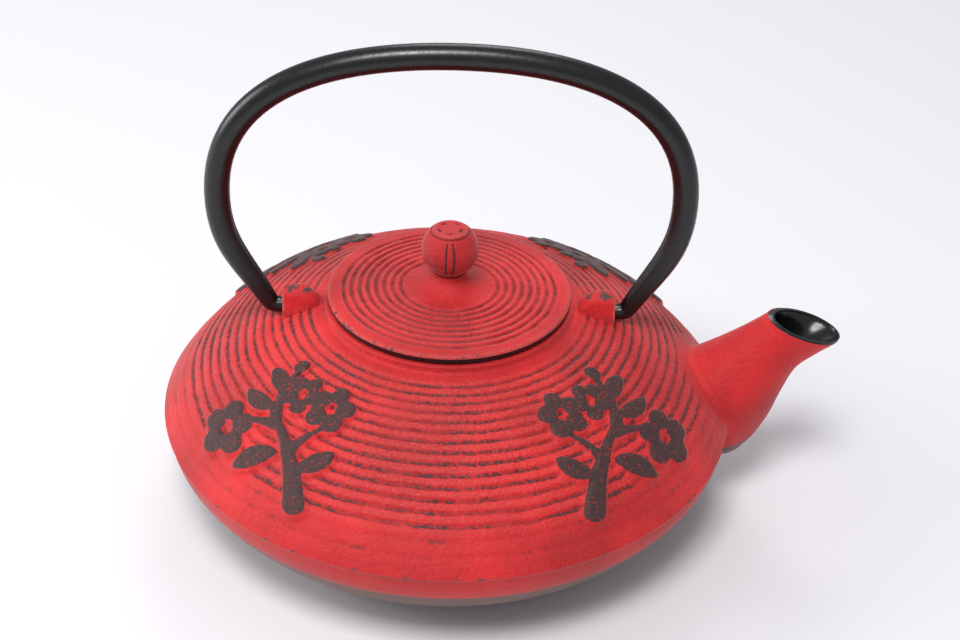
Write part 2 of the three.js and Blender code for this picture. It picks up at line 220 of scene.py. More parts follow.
def inset(outline: np.ndarray, thickness: float) -> np.ndarray:
    """An outline moved inwards by a wall's thickness.

    Args:
        outline: Rows of distance and height, running upwards on the outer side.
        thickness: The wall's thickness.

    Returns:
        The inner outline, point for point.
    """
    along = np.gradient(outline, axis=0)
    along /= np.linalg.norm(along, axis=1, keepdims=True)
    return outline + thickness * np.stack([-along[:, 1], along[:, 0]], axis=1)


def mesh_object(name: str, points: np.ndarray, faces: Sequence[Sequence[int]]) -> Piece:
    """Makes a smooth-shaded mesh object.

    Args:
        name: The object's name.
        points: Its corners.
        faces: Corner numbers of each face.

    Returns:
        The object, linked to the scene.
    """
    mesh = bpy.data.meshes.new(name)
    mesh.from_pydata(points.tolist(), [], faces)
    mesh.update()
    mesh.shade_smooth()
    piece = bpy.data.objects.new(name, mesh)
    bpy.context.scene.collection.objects.link(piece)
    return piece


def grid_faces(rows: int, columns: int, wraps: bool) -> list[list[int]]:
    """Faces of a grid whose columns run round a closed loop.

    Args:
        rows: Number of loops.
        columns: Corners in each loop.
        wraps: Whether the last loop joins the first.

    Returns:
        Corner numbers of each four-sided face.
    """
    across = np.arange(columns)
    beside = (across + 1) % columns
    faces = []
    for row in range(rows if wraps else rows - 1):
        low = row * columns
        high = ((row + 1) % rows) * columns
        faces.append(np.stack([low + across, low + beside, high + beside, high + across], axis=1))
    return np.concatenate(faces).tolist()


def turned(name: str, outline: np.ndarray, sides: int) -> Piece:
    """Turns an outline about the Z axis.

    Args:
        name: The object's name.
        outline: Rows of distance and height, upwards on the outer side. It starts and ends on the
            axis, or it is a ring's section and closes on itself.
        sides: Corners round the axis.

    Returns:
        A closed body.
    """
    on_axis = outline[0, 0] < TOUCHING and outline[-1, 0] < TOUCHING
    loops = outline[1:-1] if on_axis else outline
    turn = np.linspace(0.0, 2 * math.pi, sides, endpoint=False)
    ring = np.stack([np.cos(turn), np.sin(turn)], axis=1)
    points = np.concatenate([np.column_stack([ring * r, np.full(sides, z)]) for r, z in loops])
    faces = grid_faces(len(loops), sides, not on_axis)
    if on_axis:
        low, high = len(points), len(points) + 1
        points = np.concatenate([points, [[0, 0, outline[0, 1]], [0, 0, outline[-1, 1]]]])
        last = (len(loops) - 1) * sides
        for j in range(sides):
            k = (j + 1) % sides
            faces.append([low, k, j])
            faces.append([high, last + j, last + k])
    return mesh_object(name, points, faces)


def swept(name: str, loops: np.ndarray, wraps: bool = False) -> Piece:
    """A body through a row of loops, closed by flat ends or back to its first loop.

    Args:
        name: The object's name.
        loops: An array of loops, corners and coordinates.
        wraps: Whether the last loop joins the first.

    Returns:
        A closed body whose faces point outwards.
    """
    count, sides = loops.shape[:2]
    faces = grid_faces(count, sides, wraps)
    if not wraps:
        faces.append(list(range(sides))[::-1])
        faces.append([(count - 1) * sides + j for j in range(sides)])
    piece = mesh_object(name, loops.reshape(-1, 3), faces)
    face_outwards(piece)
    return piece


def face_outwards(piece: Piece) -> None:
    """Turns every face of a closed body outwards.

    Args:
        piece: The body.
    """
    work = bmesh.new()
    work.from_mesh(piece.data)
    bmesh.ops.recalc_face_normals(work, faces=work.faces)
    if work.calc_volume(signed=True) < 0:
        bmesh.ops.reverse_faces(work, faces=work.faces)
    work.to_mesh(piece.data)
    work.free()


def settle(piece: Piece) -> None:
    """Turns a piece's modifiers into a plain mesh and removes them.

    Args:
        piece: The piece.
    """
    mesh = bpy.data.meshes.new_from_object(piece.evaluated_get(bpy.context.evaluated_depsgraph_get()))
    piece.modifiers.clear()
    piece.data = mesh
    mesh.name = piece.name


def run_tree(piece: Piece, tree: Tree, sizes: dict[str, float]) -> None:
    """Runs a geometry tree on a piece and keeps its result as a plain mesh.

    Args:
        piece: The piece.
        tree: The tree.
        sizes: Values of the tree's named inputs.
    """
    modifier = piece.modifiers.new(tree.name, "NODES")
    modifier.node_group = tree
    for item in tree.interface.items_tree:
        if item.in_out == "INPUT" and item.name in sizes:
            modifier[item.identifier] = sizes[item.name]
    settle(piece)


def combine(piece: Piece, tool: Piece, operation: str) -> None:
    """Joins a tool body to a piece, or cuts it out of it, and deletes the tool.

    Args:
        piece: The piece that stays.
        tool: The body that is joined or cut out.
        operation: UNION or DIFFERENCE.
    """
    modifier = piece.modifiers.new("combine", "BOOLEAN")
    modifier.object = tool
    modifier.operation = operation
    modifier.solver = "MANIFOLD"
    settle(piece)
    bpy.data.objects.remove(tool)


def corners(piece: Piece) -> np.ndarray:
    """The corners of a piece's mesh.

    Args:
        piece: The piece.

    Returns:
        One row of X, Y and Z for each corner.
    """
    places = np.empty(len(piece.data.vertices) * 3, np.float32)
    piece.data.vertices.foreach_get("co", places)
    return places.reshape(-1, 3).astype(float)


def normals_of(piece: Piece) -> np.ndarray:
    """The directions in which a piece's surface faces at its corners.

    Args:
        piece: The piece.

    Returns:
        One row for each corner.
    """
    normals = np.empty(len(piece.data.vertices) * 3, np.float32)
    piece.data.vertices.foreach_get("normal", normals)
    return normals.reshape(-1, 3)


def move_corners(piece: Piece, places: np.ndarray) -> None:
    """Puts the corners of a piece's mesh in new places."""
    piece.data.vertices.foreach_set("co", places.astype(np.float32).ravel())
    piece.data.update()


def mark(piece: Piece, name: Mark, values: np.ndarray) -> None:
    """Writes a point attribute.

    Args:
        piece: The piece to mark.
        name: The attribute.
        values: One value for each corner.
    """
    attribute = piece.data.attributes.get(name.value)
    if attribute is None:
        attribute = piece.data.attributes.new(name.value, "FLOAT", "POINT")
    attribute.data.foreach_set("value", np.asarray(values, np.float32))


def paint(piece: Piece, *materials: Material) -> None:
    """Gives a piece its materials.

    Args:
        piece: The piece.
        *materials: Its materials, in order.
    """
    piece.data.materials.clear()
    for material in materials:
        piece.data.materials.append(material)


def place(piece: Piece, body: Body, slot: Slot, *nodes: str) -> None:
    """Hands a finished piece to the frame.

    Args:
        piece: The finished piece.
        body: The body that it rides on.
        slot: The record's slot of its finish, not used.
        *nodes: Nodes of the frame that it stands for.
    """
    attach(piece, body.value)
    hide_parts(*nodes)
    LOG.info("%s: %d faces on %s", piece.name, len(piece.data.polygons), body.value)


# ---- Cast rings ----


@dataclass(frozen=True)
class RingSizes:
    """Sizes of the uneven concentric grooves in a cast surface."""

    pitch: float
    first: float
    depth: float
    width: float
    wander: float
    ragged: float
    grain: float
    seed: float = 3.0
    wander_size: float = 16 * MM
    break_size: float = 5 * MM
    grain_size: float = 1.5 * MM

    def groove(self, tree: Tree, position: Socket, given: Outputs | dict[str, float]) -> Socket:
        """Builds the nodes that say how deep in a groove a place is, from 0 to 1.

        Args:
            tree: The tree, of geometry or of a material.
            position: The place.
            given: The sizes Pitch, First, Width, Wander, Ragged and Seed, as numbers or outputs.

        Returns:
            The output with the share.
        """
        parts = add_node(tree, "ShaderNodeSeparateXYZ", {0: position})
        flat = add_node(tree, "ShaderNodeCombineXYZ", {0: parts.outputs["X"], 1: parts.outputs["Y"]})
        reach = add_node(tree, "ShaderNodeVectorMath", {0: flat}, operation="LENGTH").outputs["Value"]
        for name, size in (("Wander", self.wander_size), ("Ragged", self.grain_size)):
            noise = add_node(tree, "ShaderNodeTexNoise",
                             {"Vector": position, "W": given["Seed"], "Scale": 1 / size, "Detail": 2.0},
                             noise_dimensions="4D")
            sway = add_node(tree, "ShaderNodeMath", {0: noise, 1: 0.5}, operation="SUBTRACT")
            reach = add_node(tree, "ShaderNodeMath", {0: sway, 1: given[name], 2: reach},
                             operation="MULTIPLY_ADD").outputs[0]
        from_first = add_node(tree, "ShaderNodeMath", {0: reach, 1: given["First"]}, operation="SUBTRACT")
        turns = add_node(tree, "ShaderNodeMath", {0: from_first, 1: given["Pitch"]}, operation="DIVIDE")
        nearest = add_node(tree, "ShaderNodeMath", {0: turns}, operation="ROUND")
        aside = add_node(tree, "ShaderNodeMath", {0: turns, 1: nearest}, operation="SUBTRACT")
        apart = add_node(tree, "ShaderNodeMath", {0: aside}, operation="ABSOLUTE")
        distance = add_node(tree, "ShaderNodeMath", {0: apart, 1: given["Pitch"]}, operation="MULTIPLY")
        half = add_node(tree, "ShaderNodeMath", {0: given["Width"], 1: 0.5}, operation="MULTIPLY")
        groove = add_node(tree, "ShaderNodeMapRange", {0: distance, 2: half, 3: 1.0, 4: 0.0},
                          interpolation_type="SMOOTHSTEP")
        patchy = add_node(tree, "ShaderNodeTexNoise",
                          {"Vector": position, "W": given["Seed"], "Scale": 1 / self.break_size, "Detail": 2.0},
                          noise_dimensions="4D")
        gaps = add_node(tree, "ShaderNodeMapRange", {0: patchy, 1: 0.36, 2: 0.62, 3: 0.5, 4: 1.0})
        return add_node(tree, "ShaderNodeMath", {0: groove, 1: gaps}, operation="MULTIPLY").outputs[0]

    def numbers(self) -> dict[str, float]:
        """The sizes under the names that the node trees give them."""
        return {"Pitch": self.pitch, "First": self.first, "Width": self.width, "Wander": self.wander,
                "Ragged": self.ragged, "Seed": self.seed, "Depth": self.depth, "Grain": self.grain}


DOME_RINGS = RingSizes(pitch=2.7 * MM, first=40.8 * MM, depth=0.55 * MM, width=1.7 * MM, wander=1.5 * MM,
                       ragged=0.75 * MM, grain=0.36 * MM)
LID_RINGS = RingSizes(pitch=2.39 * MM, first=11.7 * MM, depth=0.75 * MM, width=1.75 * MM, wander=0.4 * MM,
                      ragged=0.4 * MM, grain=0.25 * MM, seed=11.0, wander_size=12 * MM, break_size=4 * MM)


# ---- Finishes ----


def new_material(name: str) -> tuple[Material, Tree, Node]:
    """Starts a material.

    Args:
        name: The material's name.

    Returns:
        The material, its node tree and its principled shader.
    """
    material = bpy.data.materials.new(name)
    material.use_nodes = True
    tree = material.node_tree
    return material, tree, tree.nodes["Principled BSDF"]


def roughen(tree: Tree, shader: Node, pattern: Node, between: tuple[float, float]) -> None:
    """Lets a surface's roughness follow a noise, from the lowest to the highest."""
    gloss = add_node(tree, "ShaderNodeMapRange", {0: pattern, 1: 0.3, 2: 0.7, 3: between[0], 4: between[1]})
    tree.links.new(gloss.outputs[0], shader.inputs["Roughness"])


def emboss(tree: Tree, shader: Node, pattern: Node, strength: float, height: float) -> None:
    """Lets a pattern stand up from the surface, where it is too low to be made in the mesh."""
    bump = add_node(tree, "ShaderNodeBump", {"Strength": strength, "Distance": height, "Height": pattern})
    tree.links.new(bump.outputs[0], shader.inputs["Normal"])


@dataclass(frozen=True)
class RedIronPaint:
    """Matte red enamel paint, sprayed over a dark base coat on sand-cast iron.

    The sand mould gives the eye a fine grain and broken dark dashes where the paint misses the
    bottoms of the grooves; rubbed raised parts show the base coat through the red. The red is also
    darkened as painted shade in the grooves and creases, and paled as painted highlight, with dust
    and rubbing, on ridge tops and edges. Casting sand is 0.2 to 0.3 mm, and its grain and specks
    are drawn coarser here, so that they show.
    """

    name: str
    rings: RingSizes
    missed_share: float
    red: str = "#d01f22"
    deep_red: str = "#a91519"
    # Darker red of the grooves: painted shade, standing also for the thinner red there.
    groove_shade_red: str = "#84181a"
    pale_red: str = "#dc5450"
    # Dark base coat, used also as painted shade in creases and hollows.
    undercoat_and_hollow_shade: str = "#38282a"
    relief_coat: str = "#3c2828"
    worn_coat: str = "#4b3a3b"
    pale_rub_and_highlight_red: str = "#cf8a80"
    # Paler red of rubbed edges, standing also as painted highlight.
    line_red: str = "#bd4a47"
    bowl_coat: str = "#6a4a44"
    roughness: float = 0.6
    cloud_size: float = 26 * MM
    patch_size: float = 19 * MM
    grain_size: float = 0.45 * MM
    dash_length: float = 0.95 * MM
    dash_width: float = 0.85 * MM
    speck_size: float = 0.6 * MM
    chip_size: float = 2.4 * MM
    pebble_size: float = 1.3 * MM
    line_pitch: float = 1.1 * MM
    coat_edge: float = 23.4 * MM
    coat_waver: float = 1.2 * MM
    dash_radius: float = 64 * MM
    light_share: float = 0.4
    groove_shade_share: float = 0.75
    ridge_dust_and_highlight_share: float = 0.42
    line_share: float = 0.45
    line_waver: float = 9.0
    specular: float = 0.34
    sheen: float = 0.14
    sheen_roughness: float = 0.45
    bump: float = 0.55
    bump_height: float = 0.28 * MM

    def build(self) -> Material:
        """Builds the material: the sprayed red, then one coat or mark over the other.

        Returns:
            The material.
        """
        material, tree, shader = new_material(self.name)
        place_of = add_node(tree, "ShaderNodeTexCoord").outputs["Object"]
        parts = add_node(tree, "ShaderNodeSeparateXYZ", {0: place_of})
        marks = {
            name: add_node(tree, "ShaderNodeAttribute", attribute_name=name.value).outputs["Fac"]
            for name in (Mark.RINGS, Mark.RELIEF, Mark.CREASE, Mark.WEAR, Mark.EDGE, Mark.BAND)
        }
        groove = self.rings.groove(tree, place_of, self.rings.numbers())
        noises = self.noises(tree, place_of)
        shade = add_node(tree, "ShaderNodeMapRange", {0: noises["cloud"], 1: 0.35, 2: 0.65})
        colour = add_node(
            tree, "ShaderNodeMix", {0: shade, 6: linear(self.deep_red), 7: linear(self.red)}, data_type="RGBA")
        coats = (*self.ring_coats(tree, parts, groove, marks, noises), *self.worn_coats(tree, parts, marks, noises))
        for share, coat in coats:
            colour = add_node(tree, "ShaderNodeMix",
                              {0: share, 6: colour.outputs[2], 7: linear(coat)}, data_type="RGBA")
        tree.links.new(colour.outputs[2], shader.inputs["Base Color"])
        shader.inputs["Specular IOR Level"].default_value = self.specular
        shader.inputs["Sheen Weight"].default_value = self.sheen
        shader.inputs["Sheen Roughness"].default_value = self.sheen_roughness
        height = add_node(tree, "ShaderNodeMath", {0: noises["pebble"], 1: 2.0, 2: noises["speck"]},
                          operation="MULTIPLY_ADD")
        roughen(tree, shader, noises["grain"], (self.roughness - 0.06, self.roughness + 0.1))
        emboss(tree, shader, height, self.bump, self.bump_height)
        return material

    def noises(self, tree: Tree, place_of: Socket) -> dict[str, Node]:
        """The uneven patterns that the paint's coats follow.

        Args:
            tree: The material's tree.
            place_of: The place on the object.

        Returns:
            Noise nodes by name.
        """
        sizes = {"cloud": (self.cloud_size, 3.0, 0.5), "patch": (self.patch_size, 1.0, 0.5),
                 "grain": (self.grain_size, 2.0, 0.5), "speck": (self.speck_size, 3.0, 0.6),
                 "chip": (self.chip_size, 4.0, 0.65), "pebble": (self.pebble_size, 2.0, 0.5)}
        return {
            name: add_node(tree, "ShaderNodeTexNoise",
                           {"Vector": place_of, "Scale": 1 / size, "Detail": detail, "Roughness": rough})
            for name, (size, detail, rough) in sizes.items()
        }

    def ring_coats(self, tree: Tree, parts: Node, groove: Socket, marks: dict[Mark, Socket],
                   noises: dict[str, Node]) -> list[tuple[Node, str]]:
        """Where the sand grain, the dark dashes, painted shade in the grooves and painted highlight with dust on the
        ridges change the red.

        Args:
            tree: The material's tree.
            parts: The node that splits the place into X, Y and Z.
            groove: How deep in a groove a place is.
            marks: The piece's attributes.
            noises: The uneven patterns.

        Returns:
            Shares with their colours, the lowest coat first.
        """
        cut = add_node(tree, "ShaderNodeMath", {0: groove, 1: marks[Mark.RINGS]}, operation="MULTIPLY")
        light = add_node(tree, "ShaderNodeMapRange", {0: noises["grain"], 1: 0.52, 2: 0.8, 4: self.light_share})
        # Darker red in the grooves: painted shade, with the red thinner there over the dark base coat.
        groove_shade = add_node(tree, "ShaderNodeMapRange", {0: cut, 1: 0.15, 2: 0.9, 4: self.groove_shade_share})
        # Paler red on the ridge tops between grooves: painted highlight, broken by noise like dust.
        ridge = add_node(tree, "ShaderNodeMapRange", {0: cut, 1: 0.0, 2: 0.12, 3: 1.0, 4: 0.0})
        ringed = add_node(tree, "ShaderNodeMath", {0: ridge, 1: marks[Mark.RINGS]}, operation="MULTIPLY")
        ridge_dust_and_highlight = add_node(tree, "ShaderNodeMapRange", {0: noises["speck"], 1: 0.4, 2: 0.65, 4: self.ridge_dust_and_highlight_share})
        pale = add_node(tree, "ShaderNodeMath", {0: ringed, 1: ridge_dust_and_highlight}, operation="MULTIPLY")
        share = add_node(tree, "ShaderNodeMapRange", {0: noises["patch"], 1: 0.4, 2: 0.62, 3: 0.3, 4: 1.0})
        in_groove = add_node(tree, "ShaderNodeMath", {0: cut, 1: self.dashes(tree, parts)}, operation="MULTIPLY")
        uneven = add_node(tree, "ShaderNodeMath", {0: in_groove, 1: share}, operation="MULTIPLY")
        missed = add_node(tree, "ShaderNodeMapRange", {0: uneven, 1: 0.06, 2: 0.3, 4: self.missed_share})
        return [(light, self.pale_red), (groove_shade, self.groove_shade_red), (pale, self.pale_red), (missed, self.undercoat_and_hollow_shade)]

    def worn_coats(self, tree: Tree, parts: Node, marks: dict[Mark, Socket],
                   noises: dict[str, Node]) -> list[tuple[Node | Socket, str]]:
        """Where the paint is rubbed, lined or chipped, where painted highlight pales its edges, where painted shade and
        dark joints darken its creases, and where the bowl's brown coat begins.

        Args:
            tree: The material's tree.
            parts: The node that splits the place into X, Y and Z.
            marks: The piece's attributes.
            noises: The uneven patterns.

        Returns:
            Shares with their colours, the lowest coat first.
        """
        dots = add_node(tree, "ShaderNodeMapRange", {0: noises["speck"], 1: 0.59, 2: 0.66, 3: 1.0, 4: 0.25})
        top = add_node(tree, "ShaderNodeMapRange", {0: marks[Mark.RELIEF], 1: 0.02, 2: 0.2})
        rubbed = add_node(tree, "ShaderNodeMath", {0: top, 1: dots}, operation="MULTIPLY")

        level = add_node(tree, "ShaderNodeMath", {0: parts.outputs["Z"], 1: 2 * math.pi / self.line_pitch},
                         operation="MULTIPLY")
        wavy = add_node(tree, "ShaderNodeMath", {0: noises["cloud"], 1: self.line_waver, 2: level},
                        operation="MULTIPLY_ADD")
        lines = add_node(tree, "ShaderNodeMath", {0: wavy}, operation="SINE")
        broken = add_node(tree, "ShaderNodeMath", {0: lines, 1: noises["chip"]}, operation="MULTIPLY")
        lined = add_node(tree, "ShaderNodeMath", {0: broken, 1: marks[Mark.BAND]}, operation="MULTIPLY")
        faint = add_node(tree, "ShaderNodeMapRange", {0: lined, 1: 0.15, 2: 0.6, 4: self.line_share})

        # Paler red along marked edges: rubbed paint, and painted highlight.
        pale_rub_and_highlight_noise = add_node(tree, "ShaderNodeMapRange", {0: noises["speck"], 1: 0.4, 2: 0.6, 3: 0.15, 4: 0.8})
        pale_rub_and_highlight_share = add_node(tree, "ShaderNodeMath", {0: pale_rub_and_highlight_noise, 1: marks[Mark.EDGE]}, operation="MULTIPLY")
        likely = add_node(tree, "ShaderNodeMath", {0: marks[Mark.WEAR], 1: 0.12, 2: noises["chip"]},
                          operation="MULTIPLY_ADD")
        chipped = add_node(tree, "ShaderNodeMapRange", {0: likely, 1: 0.66, 2: 0.69})
        rubs = add_node(tree, "ShaderNodeMapRange", {0: marks[Mark.WEAR], 2: 0.2})
        worn = add_node(tree, "ShaderNodeMath", {0: chipped, 1: rubs}, operation="MULTIPLY")

        waver = add_node(tree, "ShaderNodeMath", {0: noises["chip"], 1: self.coat_waver, 2: parts.outputs["Z"]},
                         operation="MULTIPLY_ADD")
        edge = self.coat_edge + self.coat_waver / 2
        below = add_node(tree, "ShaderNodeMapRange", {0: waver, 1: edge - 0.4 * MM, 2: edge + 0.4 * MM, 3: 1.0, 4: 0.0})
        # The dark base coat also stands for painted shade in creases and hollows, and for dark joints.
        return [(rubbed, self.relief_coat), (faint, self.line_red), (pale_rub_and_highlight_share, self.pale_rub_and_highlight_red), (worn, self.worn_coat),
                (marks[Mark.CREASE], self.undercoat_and_hollow_shade), (below, self.bowl_coat)]

    def dashes(self, tree: Tree, parts: Node) -> Socket:
        """Noise that is long round the pot's axis and short across it.

        Args:
            tree: The material's tree.
            parts: The node that splits the place into X, Y and Z.

        Returns:
            The output with the noise.
        """
        turn = add_node(tree, "ShaderNodeMath", {0: parts.outputs["Y"], 1: parts.outputs["X"]}, operation="ARCTAN2")
        flat = add_node(tree, "ShaderNodeCombineXYZ", {0: parts.outputs["X"], 1: parts.outputs["Y"]})
        reach = add_node(tree, "ShaderNodeVectorMath", {0: flat}, operation="LENGTH")
        east = add_node(tree, "ShaderNodeMath", {0: turn}, operation="COSINE")
        north = add_node(tree, "ShaderNodeMath", {0: turn}, operation="SINE")
        around = self.dash_radius / self.dash_length
        wound = add_node(tree, "ShaderNodeCombineXYZ", {0: east, 1: north, 2: reach.outputs["Value"]})
        scaled = add_node(tree, "ShaderNodeVectorMath",
                          {0: wound, 1: (around, around, 1 / self.dash_width)}, operation="MULTIPLY")
        noise = add_node(tree, "ShaderNodeTexNoise", {"Vector": scaled, "Scale": 1.0, "Detail": 2.0, "Roughness": 0.6})
        return add_node(tree, "ShaderNodeMapRange", {0: noise, 1: 0.43, 2: 0.57}).outputs[0]


@dataclass(frozen=True)
class BlackEnamel:
    """Glossy black vitreous enamel, fired on the iron inside the pot, so it mirrors the lights."""

    colour: str = "#111214"
    roughness: float = 0.2
    ripple_size: float = 3.5 * MM

    def build(self) -> Material:
        """Builds the material.

        Returns:
            The material.
        """
        material, tree, shader = new_material("glossy_black_vitreous_enamel")
        place_of = add_node(tree, "ShaderNodeTexCoord").outputs["Object"]
        ripple = add_node(tree, "ShaderNodeTexNoise",
                          {"Vector": place_of, "Scale": 1 / self.ripple_size, "Detail": 2.0})
        shader.inputs["Base Color"].default_value = linear(self.colour)
        roughen(tree, shader, ripple, (self.roughness - 0.05, self.roughness + 0.1))
        emboss(tree, shader, ripple, 0.3, 0.2 * MM)
        return material


@dataclass(frozen=True)
class BlackBailPaint:
    """Satin black powder coat on rolled steel, with bare steel where the open tips rub in the ears.

    Its fine orange peel gives the eye one long soft highlight along the tube.
    """

    colour: str = "#0a0b0c"
    steel: str = "#cfcdc9"
    roughness: float = 0.3
    peel_size: float = 0.8 * MM

    def build(self) -> Material:
        """Builds the material.

        Returns:
            The material.
        """
        material, tree, shader = new_material("satin_black_powder_coat_on_steel")
        place_of = add_node(tree, "ShaderNodeTexCoord").outputs["Object"]
        peel = add_node(tree, "ShaderNodeTexNoise", {"Vector": place_of, "Scale": 1 / self.peel_size, "Detail": 2.0})
        bare = add_node(tree, "ShaderNodeAttribute", attribute_name=Mark.BARE.value).outputs["Fac"]
        broken = add_node(tree, "ShaderNodeMath", {0: bare, 1: peel}, operation="MULTIPLY")
        shown = add_node(tree, "ShaderNodeMapRange", {0: broken, 1: 0.36, 2: 0.44})
        colour = add_node(tree, "ShaderNodeMix",
                          {0: shown, 6: linear(self.colour), 7: linear(self.steel)}, data_type="RGBA")
        tree.links.new(colour.outputs[2], shader.inputs["Base Color"])
        tree.links.new(shown.outputs[0], shader.inputs["Metallic"])
        roughen(tree, shader, peel, (self.roughness - 0.05, self.roughness + 0.07))
        emboss(tree, shader, peel, 0.15, 0.1 * MM)
        return material


@dataclass(frozen=True)
class SteelFinish:
    """Bare steel with the fine marks of its making: turned, pressed or drawn through a die.

    The marks stretch its highlights for the eye. Real ones are about 0.05 mm apart, drawn coarser
    here, so that they show.
    """

    name: str
    colour: str
    roughness: float
    mark_size: float = 0.5 * MM
    mark_stretch: float = 14.0

    def build(self) -> Material:
        """Builds the material.

        Returns:
            The material.
        """
        material, tree, shader = new_material(self.name)
        place_of = add_node(tree, "ShaderNodeTexCoord").outputs["Object"]
        fine = 1 / self.mark_size
        stretched = add_node(tree, "ShaderNodeMapping",
                             {"Vector": place_of, "Scale": (fine / self.mark_stretch, fine / self.mark_stretch, fine)})
        marks = add_node(tree, "ShaderNodeTexNoise", {"Vector": stretched, "Scale": 1.0, "Detail": 3.0})
        shader.inputs["Base Color"].default_value = linear(self.colour)
        shader.inputs["Metallic"].default_value = 1.0
        roughen(tree, shader, marks, (self.roughness - 0.07, self.roughness + 0.1))
        emboss(tree, shader, marks, 0.12, 0.05 * MM)
        return material


@dataclass
class Palette:
    """Every finish of the teapot, built once."""

    red: Material = field(default_factory=lambda: RedIronPaint("matte_red_paint_on_cast_pot", DOME_RINGS, 0.85).build())
    lid_red: Material = field(
        default_factory=lambda: RedIronPaint("matte_red_paint_on_cast_lid", LID_RINGS, 0.5).build())
    # The knob's red is a darker copy of the pot's paint: painted shade on the knob.
    knob_shaded_red: Material = field(
        default_factory=lambda: RedIronPaint("matte_red_paint_on_cast_knob_shaded_darker", LID_RINGS, 0.0,
                                             red="#b91b20", deep_red="#8e1317", pale_red="#cf6460").build())
    enamel: Material = field(default_factory=lambda: BlackEnamel().build())
    bail: Material = field(default_factory=lambda: BlackBailPaint().build())
    stainless: Material = field(default_factory=lambda: SteelFinish("pressed_stainless_steel", "#c4c5c6", 0.26).build())
    wire: Material = field(default_factory=lambda: SteelFinish("drawn_stainless_wire", "#b9babb", 0.34).build())
    plain: Material = field(default_factory=lambda: SteelFinish("turned_plain_steel", "#8f9092", 0.4).build())


# ---- Ring cutting, by geometry nodes ----


@dataclass
class CastRings:
    """Cuts the grooves and the sand grain of a cast surface with a node tree."""

    sizes: RingSizes

    def tree(self, red: Material, enamel: Material) -> Tree:
        """Builds the tree.

        Args:
            red: Material of the outside.
            enamel: Material of the marked faces.

        Returns:
            The tree.
        """
        tree = bpy.data.node_groups.new("cast_rings", "GeometryNodeTree")
        tree.interface.new_socket("Geometry", in_out="INPUT", socket_type="NodeSocketGeometry")
        tree.interface.new_socket("Geometry", in_out="OUTPUT", socket_type="NodeSocketGeometry")
        for name in self.sizes.numbers():
            tree.interface.new_socket(name, in_out="INPUT", socket_type="NodeSocketFloat")
        given = add_node(tree, "NodeGroupInput").outputs
        position = add_node(tree, "GeometryNodeInputPosition").outputs[0]
        groove = self.sizes.groove(tree, position, given)
        sand = add_node(tree, "ShaderNodeTexNoise",
                        {"Vector": position, "W": given["Seed"], "Scale": 1 / self.sizes.grain_size, "Detail": 2.0},
                        noise_dimensions="4D").outputs[0]
        weights = {
            name: add_node(tree, "GeometryNodeInputNamedAttribute", {"Name": name.value}, data_type="FLOAT").outputs[0]
            for name in (Mark.RINGS, Mark.GRAIN)
        }
        cut = add_node(tree, "ShaderNodeMath", {0: groove, 1: weights[Mark.RINGS]}, operation="MULTIPLY")
        inwards = add_node(tree, "ShaderNodeMath", {0: cut, 1: given["Depth"]}, operation="MULTIPLY")
        sandy = add_node(tree, "ShaderNodeMath", {0: sand, 1: 0.5}, operation="SUBTRACT")
        rough = add_node(tree, "ShaderNodeMath", {0: sandy, 1: weights[Mark.GRAIN]}, operation="MULTIPLY")
        outwards = add_node(tree, "ShaderNodeMath", {0: rough, 1: given["Grain"]}, operation="MULTIPLY")
        rise = add_node(tree, "ShaderNodeMath", {0: outwards, 1: inwards}, operation="SUBTRACT")
        normal = add_node(tree, "GeometryNodeInputNormal").outputs[0]
        offset = add_node(tree, "ShaderNodeVectorMath", {0: normal, "Scale": rise}, operation="SCALE")
        moved = add_node(tree, "GeometryNodeSetPosition", {"Geometry": given["Geometry"], "Offset": offset})
        real = add_node(tree, "GeometryNodeRealizeInstances", {"Geometry": moved})
        coated = add_node(tree, "GeometryNodeSetMaterial", {"Geometry": real, "Material": red})
        enamelled = add_node(tree, "GeometryNodeInputNamedAttribute", {"Name": Mark.ENAMEL.value}, data_type="BOOLEAN")
        lined = add_node(tree, "GeometryNodeSetMaterial",
                         {"Geometry": coated, "Selection": enamelled, "Material": enamel})
        add_node(tree, "NodeGroupOutput", {0: lined})
        return tree

    def cut(self, piece: Piece, red: Material, enamel: Material) -> None:
        """Cuts the rings into a marked piece and gives it its red and, on its marked faces, its enamel."""
        run_tree(piece, self.tree(red, enamel), self.sizes.numbers())


def mark_enamel(piece: Piece, chosen: np.ndarray) -> None:
    """Marks the faces that are enamelled, for which the array is true."""
    attribute = piece.data.attributes.new(Mark.ENAMEL.value, "BOOLEAN", "FACE")
    attribute.data.foreach_set("value", chosen.astype(bool))


# ---- Raised motif ----


class StrokeKind(Enum):
    """How a raised stroke swells along its length."""

    TWIG = "twig"
    LEAF = "leaf"
    PETAL = "petal"


@dataclass(frozen=True)
class Stroke:
    """One raised stroke of a blossom branch, in metres on the dome: sideways and up the slope."""

    kind: StrokeKind
    start: tuple[float, float]
    end: tuple[float, float]
    half_width: float
    bend: float = 0.0
    count: int = 18

    def dabs(self) -> tuple[np.ndarray, np.ndarray]:
        """The round dabs that make up the stroke.

        Returns:
            Their centres and their radii.
        """
        a, b = np.array(self.start), np.array(self.end)
        if self.kind is StrokeKind.PETAL:
            return a[None, :], np.array([self.half_width])
        along = b - a
        middle = (a + b) / 2 + self.bend * np.array([-along[1], along[0]])
        centres = quadratic(a, middle, b, self.count - 1)
        t = np.linspace(0.0, 1.0, self.count)
        if self.kind is StrokeKind.LEAF:
            radii = self.half_width * np.sin(math.pi * np.clip(t * 0.94 + 0.05, 0, 1)) ** 0.75
        else:
            radii = self.half_width * (1.0 - 0.55 * t)
        return centres, radii


PETALS = 5


